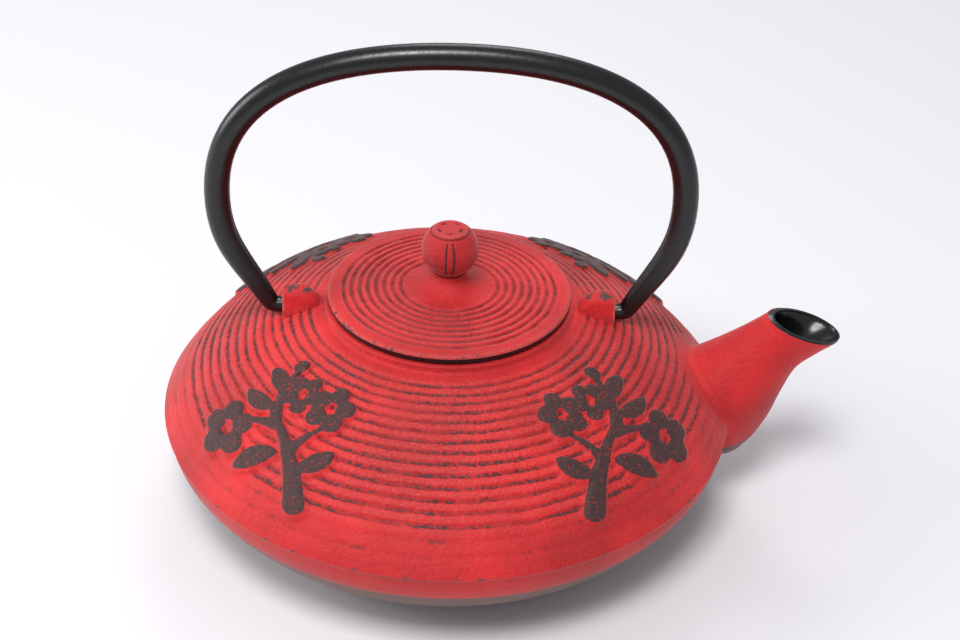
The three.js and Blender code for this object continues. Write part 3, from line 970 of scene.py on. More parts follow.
def blossom(across: float, up: float, size: float, turn: float) -> list[Stroke]:
    """A five-petalled blossom with an open middle.

    Args:
        across: Its centre's place sideways.
        up: Its centre's place up the slope.
        size: Distance of the petals' centres from the blossom's.
        turn: Direction of the first petal, in degrees.

    Returns:
        Its petals.
    """
    petals = []
    for k in range(PETALS):
        angle = math.radians(turn + 360 / PETALS * k)
        spot = (across + size * math.cos(angle), up + size * math.sin(angle))
        petals.append(Stroke(StrokeKind.PETAL, spot, spot, size * 0.7))
    return petals


def blossom_branch() -> list[Stroke]:
    """A generic branch in bloom: an arched branch, twigs, three blossoms, a bud and leaves.

    Returns:
        Its strokes.
    """
    twig, leaf, petal = StrokeKind.TWIG, StrokeKind.LEAF, StrokeKind.PETAL
    return [
        Stroke(twig, (-15.5 * MM, -17.0 * MM), (4.0 * MM, 1.0 * MM), 2.9 * MM, 0.2),
        Stroke(twig, (2.6 * MM, 0.2 * MM), (9.5 * MM, 16.6 * MM), 2.2 * MM, -0.16),
        Stroke(twig, (-7.6 * MM, -6.6 * MM), (-13.6 * MM, 4.4 * MM), 2.0 * MM, -0.2),
        Stroke(twig, (1.0 * MM, -1.6 * MM), (12.4 * MM, -8.0 * MM), 2.1 * MM, 0.18),
        *blossom(-11.4 * MM, 10.6 * MM, 5.0 * MM, 90),
        *blossom(13.4 * MM, -10.6 * MM, 4.9 * MM, 60),
        *blossom(0.8 * MM, 10.4 * MM, 4.3 * MM, 30),
        Stroke(petal, (10.6 * MM, 17.0 * MM), (10.6 * MM, 17.0 * MM), 3.0 * MM),
        Stroke(leaf, (7.4 * MM, 7.0 * MM), (18.4 * MM, 10.4 * MM), 3.1 * MM, 0.16),
        Stroke(leaf, (5.6 * MM, 2.2 * MM), (18.0 * MM, 1.0 * MM), 3.0 * MM, -0.16),
        Stroke(leaf, (-4.0 * MM, -7.6 * MM), (3.8 * MM, -17.0 * MM), 3.2 * MM, 0.16),
        Stroke(leaf, (-12.2 * MM, -8.6 * MM), (-19.4 * MM, -0.8 * MM), 3.0 * MM, 0.16),
    ]


@dataclass
class RaisedMotif:
    """Branches that stand up from the dome, evenly spaced round the pot."""

    centre_reach: float = 64 * MM
    slope_share: float = 0.83
    count: int = 4
    first_turn: float = 45.0
    height: float = 1.15 * MM
    edge: float = 0.95 * MM
    half_size: float = 26 * MM
    above: float = 33 * MM
    strokes: list[Stroke] = field(default_factory=blossom_branch)

    def depth_in(self, points: np.ndarray) -> np.ndarray:
        """How far each point lies inside a stroke, seen from above the dome.

        Args:
            points: Rows of X, Y and Z.

        Returns:
            Metres inside the nearest stroke's edge, negative outside.
        """
        depth = np.full(len(points), -1.0)
        reach = np.hypot(points[:, 0], points[:, 1])
        turn = np.arctan2(points[:, 1], points[:, 0])
        for k in range(self.count):
            middle = math.radians(self.first_turn + k * 360 / self.count)
            aside = (turn - middle + math.pi) % (2 * math.pi) - math.pi
            side = aside * self.centre_reach * (1 if k % 2 else -1)
            up = (self.centre_reach - reach) / self.slope_share
            close = (np.abs(side) < self.half_size) & (np.abs(up) < self.half_size)
            near = np.flatnonzero(close & (points[:, 2] > self.above))
            place_of = np.stack([side[near], up[near]], axis=1)
            for stroke in self.strokes:
                for centre, radius in zip(*stroke.dabs()):
                    inside = radius - np.linalg.norm(place_of - centre, axis=1)
                    depth[near] = np.maximum(depth[near], inside)
        return depth


# ---- Pot ----


class Coat(Enum):
    """Which coat a face of the casting has while its parts are being joined."""

    RED = 0
    ENAMEL = 1
    SPOUT = 2


# The spout's sections from inside the shell to its mouth: the upper point's distance and height, the
# lower point's, and the half-width, in millimetres from the shell's widest circle.
SPOUT_SECTIONS = (
    (-27, 10, -25, -15, 15), (-11, 17, -1, -16.8, 15.8), (-5.5, 20.4, 7.5, -12, 14), (-1, 23.7, 12.8, -3.2, 11.4),
    (3, 26.6, 15.9, 6.3, 9.4), (6.2, 29, 19.2, 14.6, 8.2), (8, 30.4, 24.5, 19.8, 8.1), (9, 31.2, 31.3, 25.2, 8.6),
)


@dataclass
class Pot:
    """The pot's iron casting: shell, collar, spout and ears, lined with enamel."""

    shell_radius: float
    collar_top: float
    hinge_height: float
    ear_outer: float = 48.5 * MM
    shell_wall: float = 3.4 * MM
    equator: float = 31 * MM
    ridge_rise: float = 1.5 * MM
    ridge_overhang: float = 0.7 * MM
    band_radius: float = 14 * MM
    band_lower: float = -30.0
    base_radius: float = 50 * MM
    foot_height: float = 1.6 * MM
    foot_draft: float = 0.8 * MM
    bowl_flatness: float = 4 * MM
    dome_fullness: float = 0.69
    collar_height: float = 2.4 * MM
    collar_radius: float = 36.3 * MM
    collar_fillet: float = 1.4 * MM
    seat_radius: float = 33.4 * MM
    seat_drop: float = 1.4 * MM
    mouth_radius: float = 30.4 * MM
    edge: float = 0.5 * MM
    ear_length: float = 10.8 * MM
    ear_half: float = 8.2 * MM
    ear_top_half: float = 3.3 * MM
    ear_rise: float = 6.6 * MM
    ear_ridge: float = 5.4 * MM
    ear_fall: float = 3.0 * MM
    ear_round: float = 1.2 * MM
    inner_step: float = 6 * MM
    sharp_from: float = 48.0
    hole_radius: float = 2.7 * MM
    hole_depth: float = 7 * MM
    hole_sides: int = 40
    spout_wall: float = 2.2 * MM
    spout_half: float = 17 * MM
    spout_rows: int = 96
    spout_sides: int = 72
    channel_rows: int = 60
    channel_widening: float = 0.9 * MM
    channel_drop: float = 0.65 * MM
    fillet: float = 3.2 * MM
    fillet_rounds: int = 14
    rings_start: tuple[float, float] = (38.6 * MM, 40 * MM)
    rings_end: tuple[float, float] = (83.2 * MM, 84.4 * MM)
    rings_fade: tuple[float, float] = (75 * MM, 79 * MM)
    spout_clearance: tuple[float, float] = (2.5 * MM, 8 * MM)
    rim_drop: float = 0.3 * MM
    row_step: float = 0.43 * MM
    sides: int = 408
    motif: RaisedMotif = field(default_factory=RaisedMotif)
    rings: CastRings = field(default_factory=lambda: CastRings(DOME_RINGS))

    @classmethod
    def in_frame(cls) -> "Pot":
        """Reads the pot's overall sizes from the frame."""
        shell_radius, collar_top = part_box("pot_body")[1].y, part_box("infuser_rim")[1].z + cls.rim_drop
        return cls(shell_radius=shell_radius, collar_top=collar_top, hinge_height=hinge_height())

    def outlines(self) -> tuple[np.ndarray, np.ndarray]:
        """The shell's outer outline.

        Returns:
            The lower half up to the equator, and the dome from the ridge to the collar.
        """
        band_centre = self.shell_radius - self.ridge_overhang - self.band_radius
        band = arc(band_centre, self.equator, self.band_radius, self.band_lower, 0, 10)
        run = (band[0, 1] - self.bowl_flatness) * math.tan(-math.radians(self.band_lower))
        foot = (self.base_radius + self.foot_draft, self.foot_height)
        bowl = quadratic(foot, (band[0, 0] - run, self.bowl_flatness), band[0], 10)
        ridge = np.array([self.shell_radius, self.equator + self.ridge_rise])
        shoulder = np.array([self.collar_radius + self.collar_fillet, self.collar_top - self.collar_height])
        full = self.dome_fullness
        control = (shoulder[0] + (ridge[0] - shoulder[0]) * full, ridge[1] + (shoulder[1] - ridge[1]) * full)
        return chained(bowl, band), spaced(quadratic(ridge, control, shoulder, 200), self.row_step)

    def shell(self) -> Piece:
        """The shell and collar, before the rings are cut.

        Returns:
            One closed body.
        """
        lower, dome = self.outlines()
        collar, seat, mouth = self.collar_radius, self.seat_radius, self.mouth_radius
        top, ledge, e = self.collar_top, self.collar_top - self.seat_drop, self.edge
        shoulder = dome[-1]
        fillet = quadratic(shoulder, (collar, shoulder[1]), (collar, shoulder[1] + self.collar_fillet), 5)
        inner_low = inset(lower, self.shell_wall)
        floor = self.foot_height + self.shell_wall
        inner_low[:, 1] = np.maximum(inner_low[:, 1], floor)
        inner_dome = inset(spaced(dome, self.inner_step), self.shell_wall)
        neck = top - self.collar_height - self.shell_wall
        keep = (inner_dome[:, 1] > inner_low[-1, 1]) & (inner_dome[:, 1] < neck)
        rim = chained(
            arc(collar - e, top - e, e, 0, 90, 3), arc(seat + e, top - e, e, 90, 180, 3),
            [(seat, ledge)], [(mouth + e, ledge)], arc(mouth + e, ledge - e, e, 90, 180, 2), [(mouth, neck)])
        outline = chained(
            [(0, 0)], [(self.base_radius * 0.5, 0)], [(self.base_radius - e, 0)], [(self.base_radius, e)],
            lower, dome, fillet, rim, inner_dome[keep][::-1], inner_low[::-1],
            [(self.base_radius * 0.5, floor)], [(0, floor)])
        piece = turned("pot_body_casting", outline, self.sides)
        last_red = int(np.argmin(np.linalg.norm(outline - rim[4], axis=1)))
        row = np.repeat(np.arange(len(outline) - 3), self.sides)
        lined = np.full(len(piece.data.polygons), Coat.RED.value, np.int32)
        lined[:len(row)][row + 1 >= last_red] = Coat.ENAMEL.value
        lined[len(row) + 1::2] = Coat.ENAMEL.value
        self.coat(piece, lined)
        return piece

    def coat(self, piece: Piece, coats: np.ndarray | None = None, whole: Coat | None = None) -> None:
        """Notes the coat of each face of a part of the casting.

        Args:
            piece: The part.
            coats: The coat's number for each face.
            whole: The one coat of the whole part, instead.
        """
        for _ in range(len(Coat) - len(piece.data.materials)):
            piece.data.materials.append(None)
        if whole is not None:
            coats = np.full(len(piece.data.polygons), whole.value, np.int32)
        piece.data.polygons.foreach_set("material_index", coats)

    def raise_motif(self, piece: Piece) -> None:
        """Lifts the strokes of the motif off the dome.

        Args:
            piece: The shell.
        """
        places = corners(piece)
        depth = self.motif.depth_in(places)
        lift = self.motif.height * smoothstep(-self.motif.edge / 2, self.motif.edge / 2, depth)
        normals = normals_of(piece)
        lift = np.where(normals[:, 2] > 0.05, lift, 0.0)
        move_corners(piece, places + normals * lift[:, None])

    def spout_lines(self, count: int) -> tuple[np.ndarray, np.ndarray, np.ndarray]:
        """The spout's upper and lower lines and its half-widths.

        Args:
            count: Number of sections.

        Returns:
            Upper points, lower points and half-widths, one for each section.
        """
        sections = np.array(SPOUT_SECTIONS) * MM
        sections[:, (0, 2)] += self.shell_radius
        sections[:, (1, 3)] += self.equator
        smooth = through(sections, count)
        return smooth[:, 0:2], smooth[:, 2:4], smooth[:, 4]

    def spout_loops(self, shrink: np.ndarray, ahead: np.ndarray) -> np.ndarray:
        """Loops round the spout.

        Args:
            shrink: How much smaller all round each section is.
            ahead: How far past its own place each section is moved, out of the mouth.

        Returns:
            An array of loops, corners and coordinates.
        """
        tops, lows, halves = self.spout_lines(len(shrink))
        across = (lows[-1] - tops[-1]) / np.linalg.norm(lows[-1] - tops[-1])
        outwards = np.array([-across[1], across[0]])
        turn = np.linspace(0.0, 2 * math.pi, self.spout_sides, endpoint=False)
        loops = []
        for top, low, half, less, on in zip(tops, lows, halves, shrink, ahead):
            up = (top - low) / np.linalg.norm(top - low)
            tall = np.linalg.norm(top - low) / 2 - less
            centre = (top + low) / 2 + outwards * on
            flat = centre + np.outer(np.cos(turn) * tall, up)
            loops.append(np.column_stack([flat[:, 0], np.sin(turn) * (half - less), flat[:, 1]]))
        return np.array(loops)

    def spout(self) -> Piece:
        """The spout's outside, with a rounded edge at its mouth.

        Returns:
            A closed body.
        """
        count, sides = self.spout_rows, self.spout_sides
        shrink, ahead = np.zeros(count), np.zeros(count)
        shrink[-1], shrink[-2] = self.edge, self.edge * 0.3
        ahead[-2] = -self.edge * 0.4
        piece = swept("spout_outside", self.spout_loops(shrink, ahead))
        coats = np.full(len(piece.data.polygons), Coat.SPOUT.value, np.int32)
        coats[(count - 2) * sides:] = Coat.ENAMEL.value
        coats[(count - 1) * sides] = Coat.SPOUT.value
        self.coat(piece, coats)
        return piece

    def channel(self) -> Piece:
        """The space inside the spout, opening at its mouth.

        Returns:
            A closed body.
        """
        count = self.channel_rows
        near = np.linspace(0, 1, count)
        wall = np.full(count, self.spout_wall) - self.channel_widening * smoothstep(0.9, 1.0, near)
        ahead = np.where(np.arange(count) == count - 1, 1.5 * MM, 0.0)
        loops = self.spout_loops(wall, ahead)
        tops, lows, _ = self.spout_lines(count)
        to_lip = (lows[-1] - tops[-1]) / np.linalg.norm(lows[-1] - tops[-1])
        loops[:, :, (0, 2)] += (self.channel_drop * smoothstep(0.8, 1.0, near))[:, None, None] * to_lip
        piece = swept("spout_channel", loops)
        self.coat(piece, whole=Coat.ENAMEL)
        return piece

    def ear(self, side: int) -> Piece:
        """One ear.

        Args:
            side: 1 for the spout's side, -1 for the other.

        Returns:
            A closed body that reaches down into the dome.
        """
        outer, inner = self.ear_outer, self.ear_outer - self.ear_length
        top = self.hinge_height + self.ear_rise
        half = self.ear_top_half
        round_off = self.ear_round
        nose = quadratic((outer, top - round_off), (outer, top), (outer - round_off, top), 6)
        slope = quadratic((outer - self.ear_ridge, top), (inner + half, top - self.ear_fall / 8),
                          (inner + 0.6 * MM, top - self.ear_fall), 18)
        tail = [(inner, top - self.ear_fall - round_off), (inner, top - self.ear_fall - 3 * MM)]
        ridge = chained(nose, slope, tail)
        root = self.equator + (self.collar_top - self.equator) / 2
        loops = []
        turn = np.linspace(0.0, math.pi, 19)
        for i, (reach, height) in enumerate(ridge):
            less = self.edge * (1.0 - min(i, 2) / 2)
            crown = half - less
            wide = self.ear_half - less
            arch = np.stack([crown * np.cos(turn), height - half + (half - less * 0.4) * np.sin(turn)], axis=1)
            legs = np.linspace((wide, root), (crown, height - half), 9)[:-1]
            other = legs[::-1] * np.array([-1, 1])
            outline = np.concatenate([legs, arch, other])
            at_end = reach if i else outer
            loops.append(np.column_stack([np.full(len(outline), at_end * side), outline[:, 0] * side, outline[:, 1]]))
        piece = swept("ear_block", np.array(loops))
        self.coat(piece, whole=Coat.RED)
        return piece

    def hole(self, side: int) -> Piece:
        """The blind hole for one tip of the bail, with a slightly eased edge.

        Args:
            side: 1 for the spout's side, -1 for the other.

        Returns:
            A closed body to cut out.
        """
        turn = np.linspace(0.0, 2 * math.pi, self.hole_sides, endpoint=False)
        stations = [(self.ear_outer - self.hole_depth, 0.0), (self.ear_outer - 0.4 * MM, 0.0),
                    (self.ear_outer + 0.1 * MM, 0.5 * MM), (self.ear_outer + 3 * MM, 0.5 * MM)]
        loops = [np.column_stack([np.full(self.hole_sides, x * side), (self.hole_radius + more) * np.cos(turn),
                                  self.hinge_height + (self.hole_radius + more) * np.sin(turn)])
                 for x, more in stations]
        piece = swept("hinge_hole", np.array(loops))
        self.coat(piece, whole=Coat.RED)
        return piece

    def build(self, palette: Palette) -> None:
        """Builds the casting, cuts its rings and dresses it.

        Args:
            palette: The finishes.
        """
        casting = self.shell()
        self.raise_motif(casting)
        combine(casting, self.spout(), "UNION")
        junction = self.junction_of(casting)
        self.ease_junction(casting, junction)
        for side in (1, -1):
            combine(casting, self.ear(side), "UNION")
            combine(casting, self.hole(side), "DIFFERENCE")
        combine(casting, self.channel(), "DIFFERENCE")
        self.mark(casting, junction)
        self.rings.cut(casting, palette.red, palette.enamel)
        casting.data.set_sharp_from_angle(angle=math.radians(self.sharp_from))
        place(casting, Body.POT, Slot.RED_IRON, "pot_body")

    def coats_of(self, piece: Piece) -> np.ndarray:
        """The number of each face's coat.

        Args:
            piece: The casting, or a part of it.

        Returns:
            One number for each face.
        """
        coats = np.empty(len(piece.data.polygons), np.int32)
        piece.data.polygons.foreach_get("material_index", coats)
        return coats

    def junction_of(self, piece: Piece) -> KDTree:
        """Finds where the spout meets the outside of the dome.

        Args:
            piece: The joined body, whose spout faces have their own material number.

        Returns:
            A search tree of the corners on that line.
        """
        index = self.coats_of(piece)
        places = corners(piece)
        kinds = np.zeros((len(places), len(Coat)), bool)
        for polygon, number in zip(piece.data.polygons, index):
            kinds[list(polygon.vertices), number] = True
        shared = places[kinds[:, Coat.RED.value] & kinds[:, Coat.SPOUT.value]]
        outside = shared[np.hypot(shared[:, 0], shared[:, 1]) > self.ear_outer]
        tree = KDTree(len(outside))
        for i, point in enumerate(outside):
            tree.insert(point, i)
        tree.balance()
        return tree

    def ease_junction(self, piece: Piece, junction: KDTree) -> None:
        """Rounds the inner corner where the spout leaves the dome, as the casting's fillet does.

        Args:
            piece: The joined body.
            junction: The line where the two meet.
        """
        work = bmesh.new()
        work.from_mesh(piece.data)
        near = [v for v in work.verts if v.co.x > self.ear_outer and junction.find(v.co)[2] < self.fillet]
        for _ in range(self.fillet_rounds):
            bmesh.ops.smooth_vert(work, verts=near, factor=0.5, use_axis_x=True, use_axis_y=True, use_axis_z=True)
        work.to_mesh(piece.data)
        work.free()
        piece.data.shade_smooth()

    def mark(self, piece: Piece, junction: KDTree) -> None:
        """Marks where rings are cut, where the paint is rubbed or chipped, and where it carries painted shade or
        painted highlight.

        Args:
            piece: The finished casting.
            junction: The line where the spout meets the dome.
        """
        places = corners(piece)
        reach = np.hypot(places[:, 0], places[:, 1])
        height = places[:, 2]
        ridge = self.equator + self.ridge_rise
        depth = self.motif.depth_in(places)
        to_spout = np.full(len(places), 1.0)
        for i in np.flatnonzero((places[:, 0] > self.ear_outer) & (height > self.equator * 0.4)):
            to_spout[i] = junction.find(places[i])[2]
        dome_top = self.dome_height(reach)
        on_dome = (height > ridge - 0.3 * MM) & (height > dome_top - 0.9 * MM) & (height < dome_top + 3.2 * MM)
        ringed = smoothstep(*self.rings_start, reach) * (1 - smoothstep(*self.rings_end, reach))
        aside = np.abs(places[:, 0])
        margin = 0.4 * MM
        on_ear = (np.abs(places[:, 1]) < self.ear_half + margin) & (aside < self.ear_outer + margin)
        on_ear &= (aside > self.ear_outer - self.ear_length - margin) & (height > dome_top + 0.3 * MM)
        plain = smoothstep(*self.spout_clearance, to_spout)
        between = 1 - smoothstep(-0.7 * MM, 0.1 * MM, depth)
        faint = 1 - 0.75 * smoothstep(*self.rings_fade, reach)
        mark(piece, Mark.RINGS, on_dome * ringed * plain * between * faint * ~on_ear)
        spout = (places[:, 0] > self.shell_radius - 4 * MM) & (np.abs(places[:, 1]) < self.spout_half)
        spout |= to_spout < 1 * MM
        inside = 1 - smoothstep(self.shell_radius - 1.2 * MM, self.shell_radius - 0.4 * MM, reach)
        sandy = np.where(spout | on_ear, 0.15, (0.25 + 0.75 * (on_dome & ~on_ear) * plain) * inside)
        mark(piece, Mark.GRAIN, sandy * smoothstep(0.5 * MM, 2 * MM, height))
        mark(piece, Mark.RELIEF, np.where(on_dome & (height > ridge), np.clip(depth / MM, -1, 1), -1.0))
        ear_top = on_ear & (height > self.hinge_height + self.ear_rise - 1.6 * MM)
        at_ridge = 1 - smoothstep(0.3 * MM, 0.9 * MM, np.hypot(reach - self.shell_radius, height - ridge))
        mark(piece, Mark.WEAR, np.maximum(ear_top * 1.0, at_ridge * 0.6 * ~spout))
        # The ears' outer ends get a paler edge: rubbed paint and painted highlight.
        end = np.abs(aside - self.ear_outer)
        mark(piece, Mark.EDGE, on_ear * (1 - smoothstep(0.2 * MM, 0.8 * MM, end)) * (height > self.hinge_height) * 0.7)
        mark(piece, Mark.BAND, (height < ridge - 0.9 * MM) * ~spout * (reach > self.shell_radius - 6 * MM))
        # Darker where the ears meet the dome: painted shade.
        mark(piece, Mark.CREASE, (on_ear & (height < dome_top + 1.0 * MM)) * 0.35)
        mark_enamel(piece, self.coats_of(piece) == Coat.ENAMEL.value)

    def dome_height(self, reach: np.ndarray) -> np.ndarray:
        """Height of the plain dome at a distance from the axis."""
        _, dome = self.outlines()
        return np.interp(reach, dome[::-1, 0], dome[::-1, 1])


def hinge_height() -> float:
    """Height of the axis that the bail turns about, as the record gives it."""
    hinge = next(joint for joint in frame["joints"] if joint["name"] == "handle_swing")
    return hinge["pos_m"][2]


def through(rows: np.ndarray, count: int) -> np.ndarray:
    """A smooth line through rows of values, evenly spaced between them.

    Args:
        rows: The values to pass through.
        count: Number of rows wanted.

    Returns:
        The smooth rows.
    """
    padded = np.concatenate([[2 * rows[0] - rows[1]], rows, [2 * rows[-1] - rows[-2]]])
    places = np.linspace(0, len(rows) - 1, count)
    start = np.minimum(places.astype(int), len(rows) - 2)
    t = (places - start)[:, None]
    p0, p1, p2, p3 = (padded[start + k] for k in range(4))
    return 0.5 * (2 * p1 + (p2 - p0) * t + (2 * p0 - 5 * p1 + 4 * p2 - p3) * t ** 2
                  + (3 * p1 - p0 - 3 * p2 + p3) * t ** 3)


# ---- Bail ----


@dataclass
class Bail:
    """The bail handle: a tube rolled from steel sheet, seamed on its inner side and open at its tips."""

    hinge_height: float
    half_width: float
    rise: float
    ear_outer: float = 48.5 * MM
    tube: float = 3.6 * MM
    tip: float = 2.3 * MM
    wall: float = 0.8 * MM
    taper: float = 28 * MM
    taper_ease: float = 1.6
    insertion: float = 5.6 * MM
    standoff: float = 1.6 * MM
    corner: float = 1.8 * MM
    waist_rise: float = 35 * MM
    lean: float = 28.0
    squareness: float = 0.65
    leg_fullness: float = 15 * MM
    seam_depth: float = 0.45 * MM
    seam_angle: float = 5.0
    mouth_angle: float = 34.0
    mouth_length: float = 13 * MM
    straight_step: float = 0.5 * MM
    leg_step: float = 1.2 * MM
    crown_step: float = 1.6 * MM
    seam_crowding: float = 1.7
    sharp_from: float = 40.0
    sides: int = 56

    @classmethod
    def in_frame(cls) -> "Bail":
        """Reads the bail's overall sizes from the frame."""
        high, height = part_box("bail_handle")[1], hinge_height()
        return cls(hinge_height=height, half_width=high.x - cls.tube, rise=high.z - cls.tube - height)

    def centreline(self) -> np.ndarray:
        """The tube's centreline from one tip over the crown to the other.

        Returns:
            Rows of distance from the axis and rise above the hinge.
        """
        lean = math.radians(self.lean)
        leg = np.array([math.sin(lean), math.cos(lean)])
        start = np.array([self.ear_outer + self.standoff, 0.0])
        knee = start + np.array([self.corner, 0.0])
        bent = knee + leg * self.corner
        waist = np.array([self.half_width, self.waist_rise])
        above = self.rise - self.waist_rise
        half = chained(
            spaced(np.array([[self.ear_outer - self.insertion, 0.0], start]), self.straight_step),
            quadratic(start, knee, bent, 8),
            spaced(cubic(bent, bent + leg * self.leg_fullness, waist - (0, self.leg_fullness), waist, 80),
                   self.leg_step),
            spaced(cubic(waist, waist + (0, self.squareness * above), (waist[0] * self.squareness, self.rise),
                         (0, self.rise), 120), self.crown_step))
        other = half[:-1][::-1] * np.array([-1, 1])
        return np.concatenate([half, other])

    def build(self, palette: Palette) -> None:
        """Builds the tube and dresses it.

        Args:
            palette: The finishes.
        """
        line = self.centreline()
        runs = np.concatenate([[0.0], np.cumsum(np.linalg.norm(np.diff(line, axis=0), axis=1))])
        from_tip = np.minimum(runs, runs[-1] - runs)
        drawn = np.clip(1 - (from_tip - self.insertion) / self.taper, 0, 1) ** self.taper_ease
        radii = self.tube - (self.tube - self.tip) * drawn
        along = np.gradient(line, axis=0)
        along /= np.linalg.norm(along, axis=1, keepdims=True)
        inwards = np.stack([along[:, 1], -along[:, 0]], axis=1) * -1
        turn = self.turns()
        opened = smoothstep(self.mouth_length, self.insertion, from_tip)
        seam_half = np.radians(self.seam_angle + (self.mouth_angle - self.seam_angle) * opened)
        notch = np.clip(1 - np.abs(turn)[None, :] / seam_half[:, None], 0, 1) ** 0.6
        depth = self.seam_depth + (self.wall * 1.1 - self.seam_depth) * opened
        outer = self.loops(line, inwards, turn, radii[:, None] - notch * depth[:, None])
        inner = self.loops(line, inwards, turn, (radii - self.wall)[:, None] - notch * depth[:, None])
        section = np.concatenate([outer, inner[::-1]])
        piece = swept("bail_tube", section, wraps=True)
        bare = notch * smoothstep(self.mouth_length * 0.9, self.insertion, from_tip)[:, None]
        inside = np.broadcast_to(smoothstep(self.insertion * 2, 0, from_tip)[:, None], bare.shape)
        mark(piece, Mark.BARE, np.concatenate([bare, inside[::-1]]).ravel())
        piece.data.set_sharp_from_angle(angle=math.radians(self.sharp_from))
        paint(piece, palette.bail)
        place(piece, Body.BAIL, Slot.BLACK_STEEL, "bail_handle")

    def turns(self) -> np.ndarray:
        """Angles round the tube, closer together at the seam, which is at zero."""
        share = np.linspace(-1, 1, self.sides, endpoint=False)
        return math.pi * np.sign(share) * np.abs(share) ** self.seam_crowding

    def loops(self, line: np.ndarray, inwards: np.ndarray, turn: np.ndarray, radii: np.ndarray) -> np.ndarray:
        """Loops round the centreline.

        Args:
            line: The centreline, as distance from the axis and rise above the hinge.
            inwards: Direction towards the inside of the arch at each point.
            turn: Angles round the tube.
            radii: The radius at each point and angle.

        Returns:
            An array of loops, corners and coordinates.
        """
        near = radii * np.cos(turn)[None, :]
        across = radii * np.sin(turn)[None, :]
        x = line[:, 0:1] + inwards[:, 0:1] * near
        z = self.hinge_height + line[:, 1:2] + inwards[:, 1:2] * near
        return np.stack([x, across, z], axis=2)


# ---- Lid ----


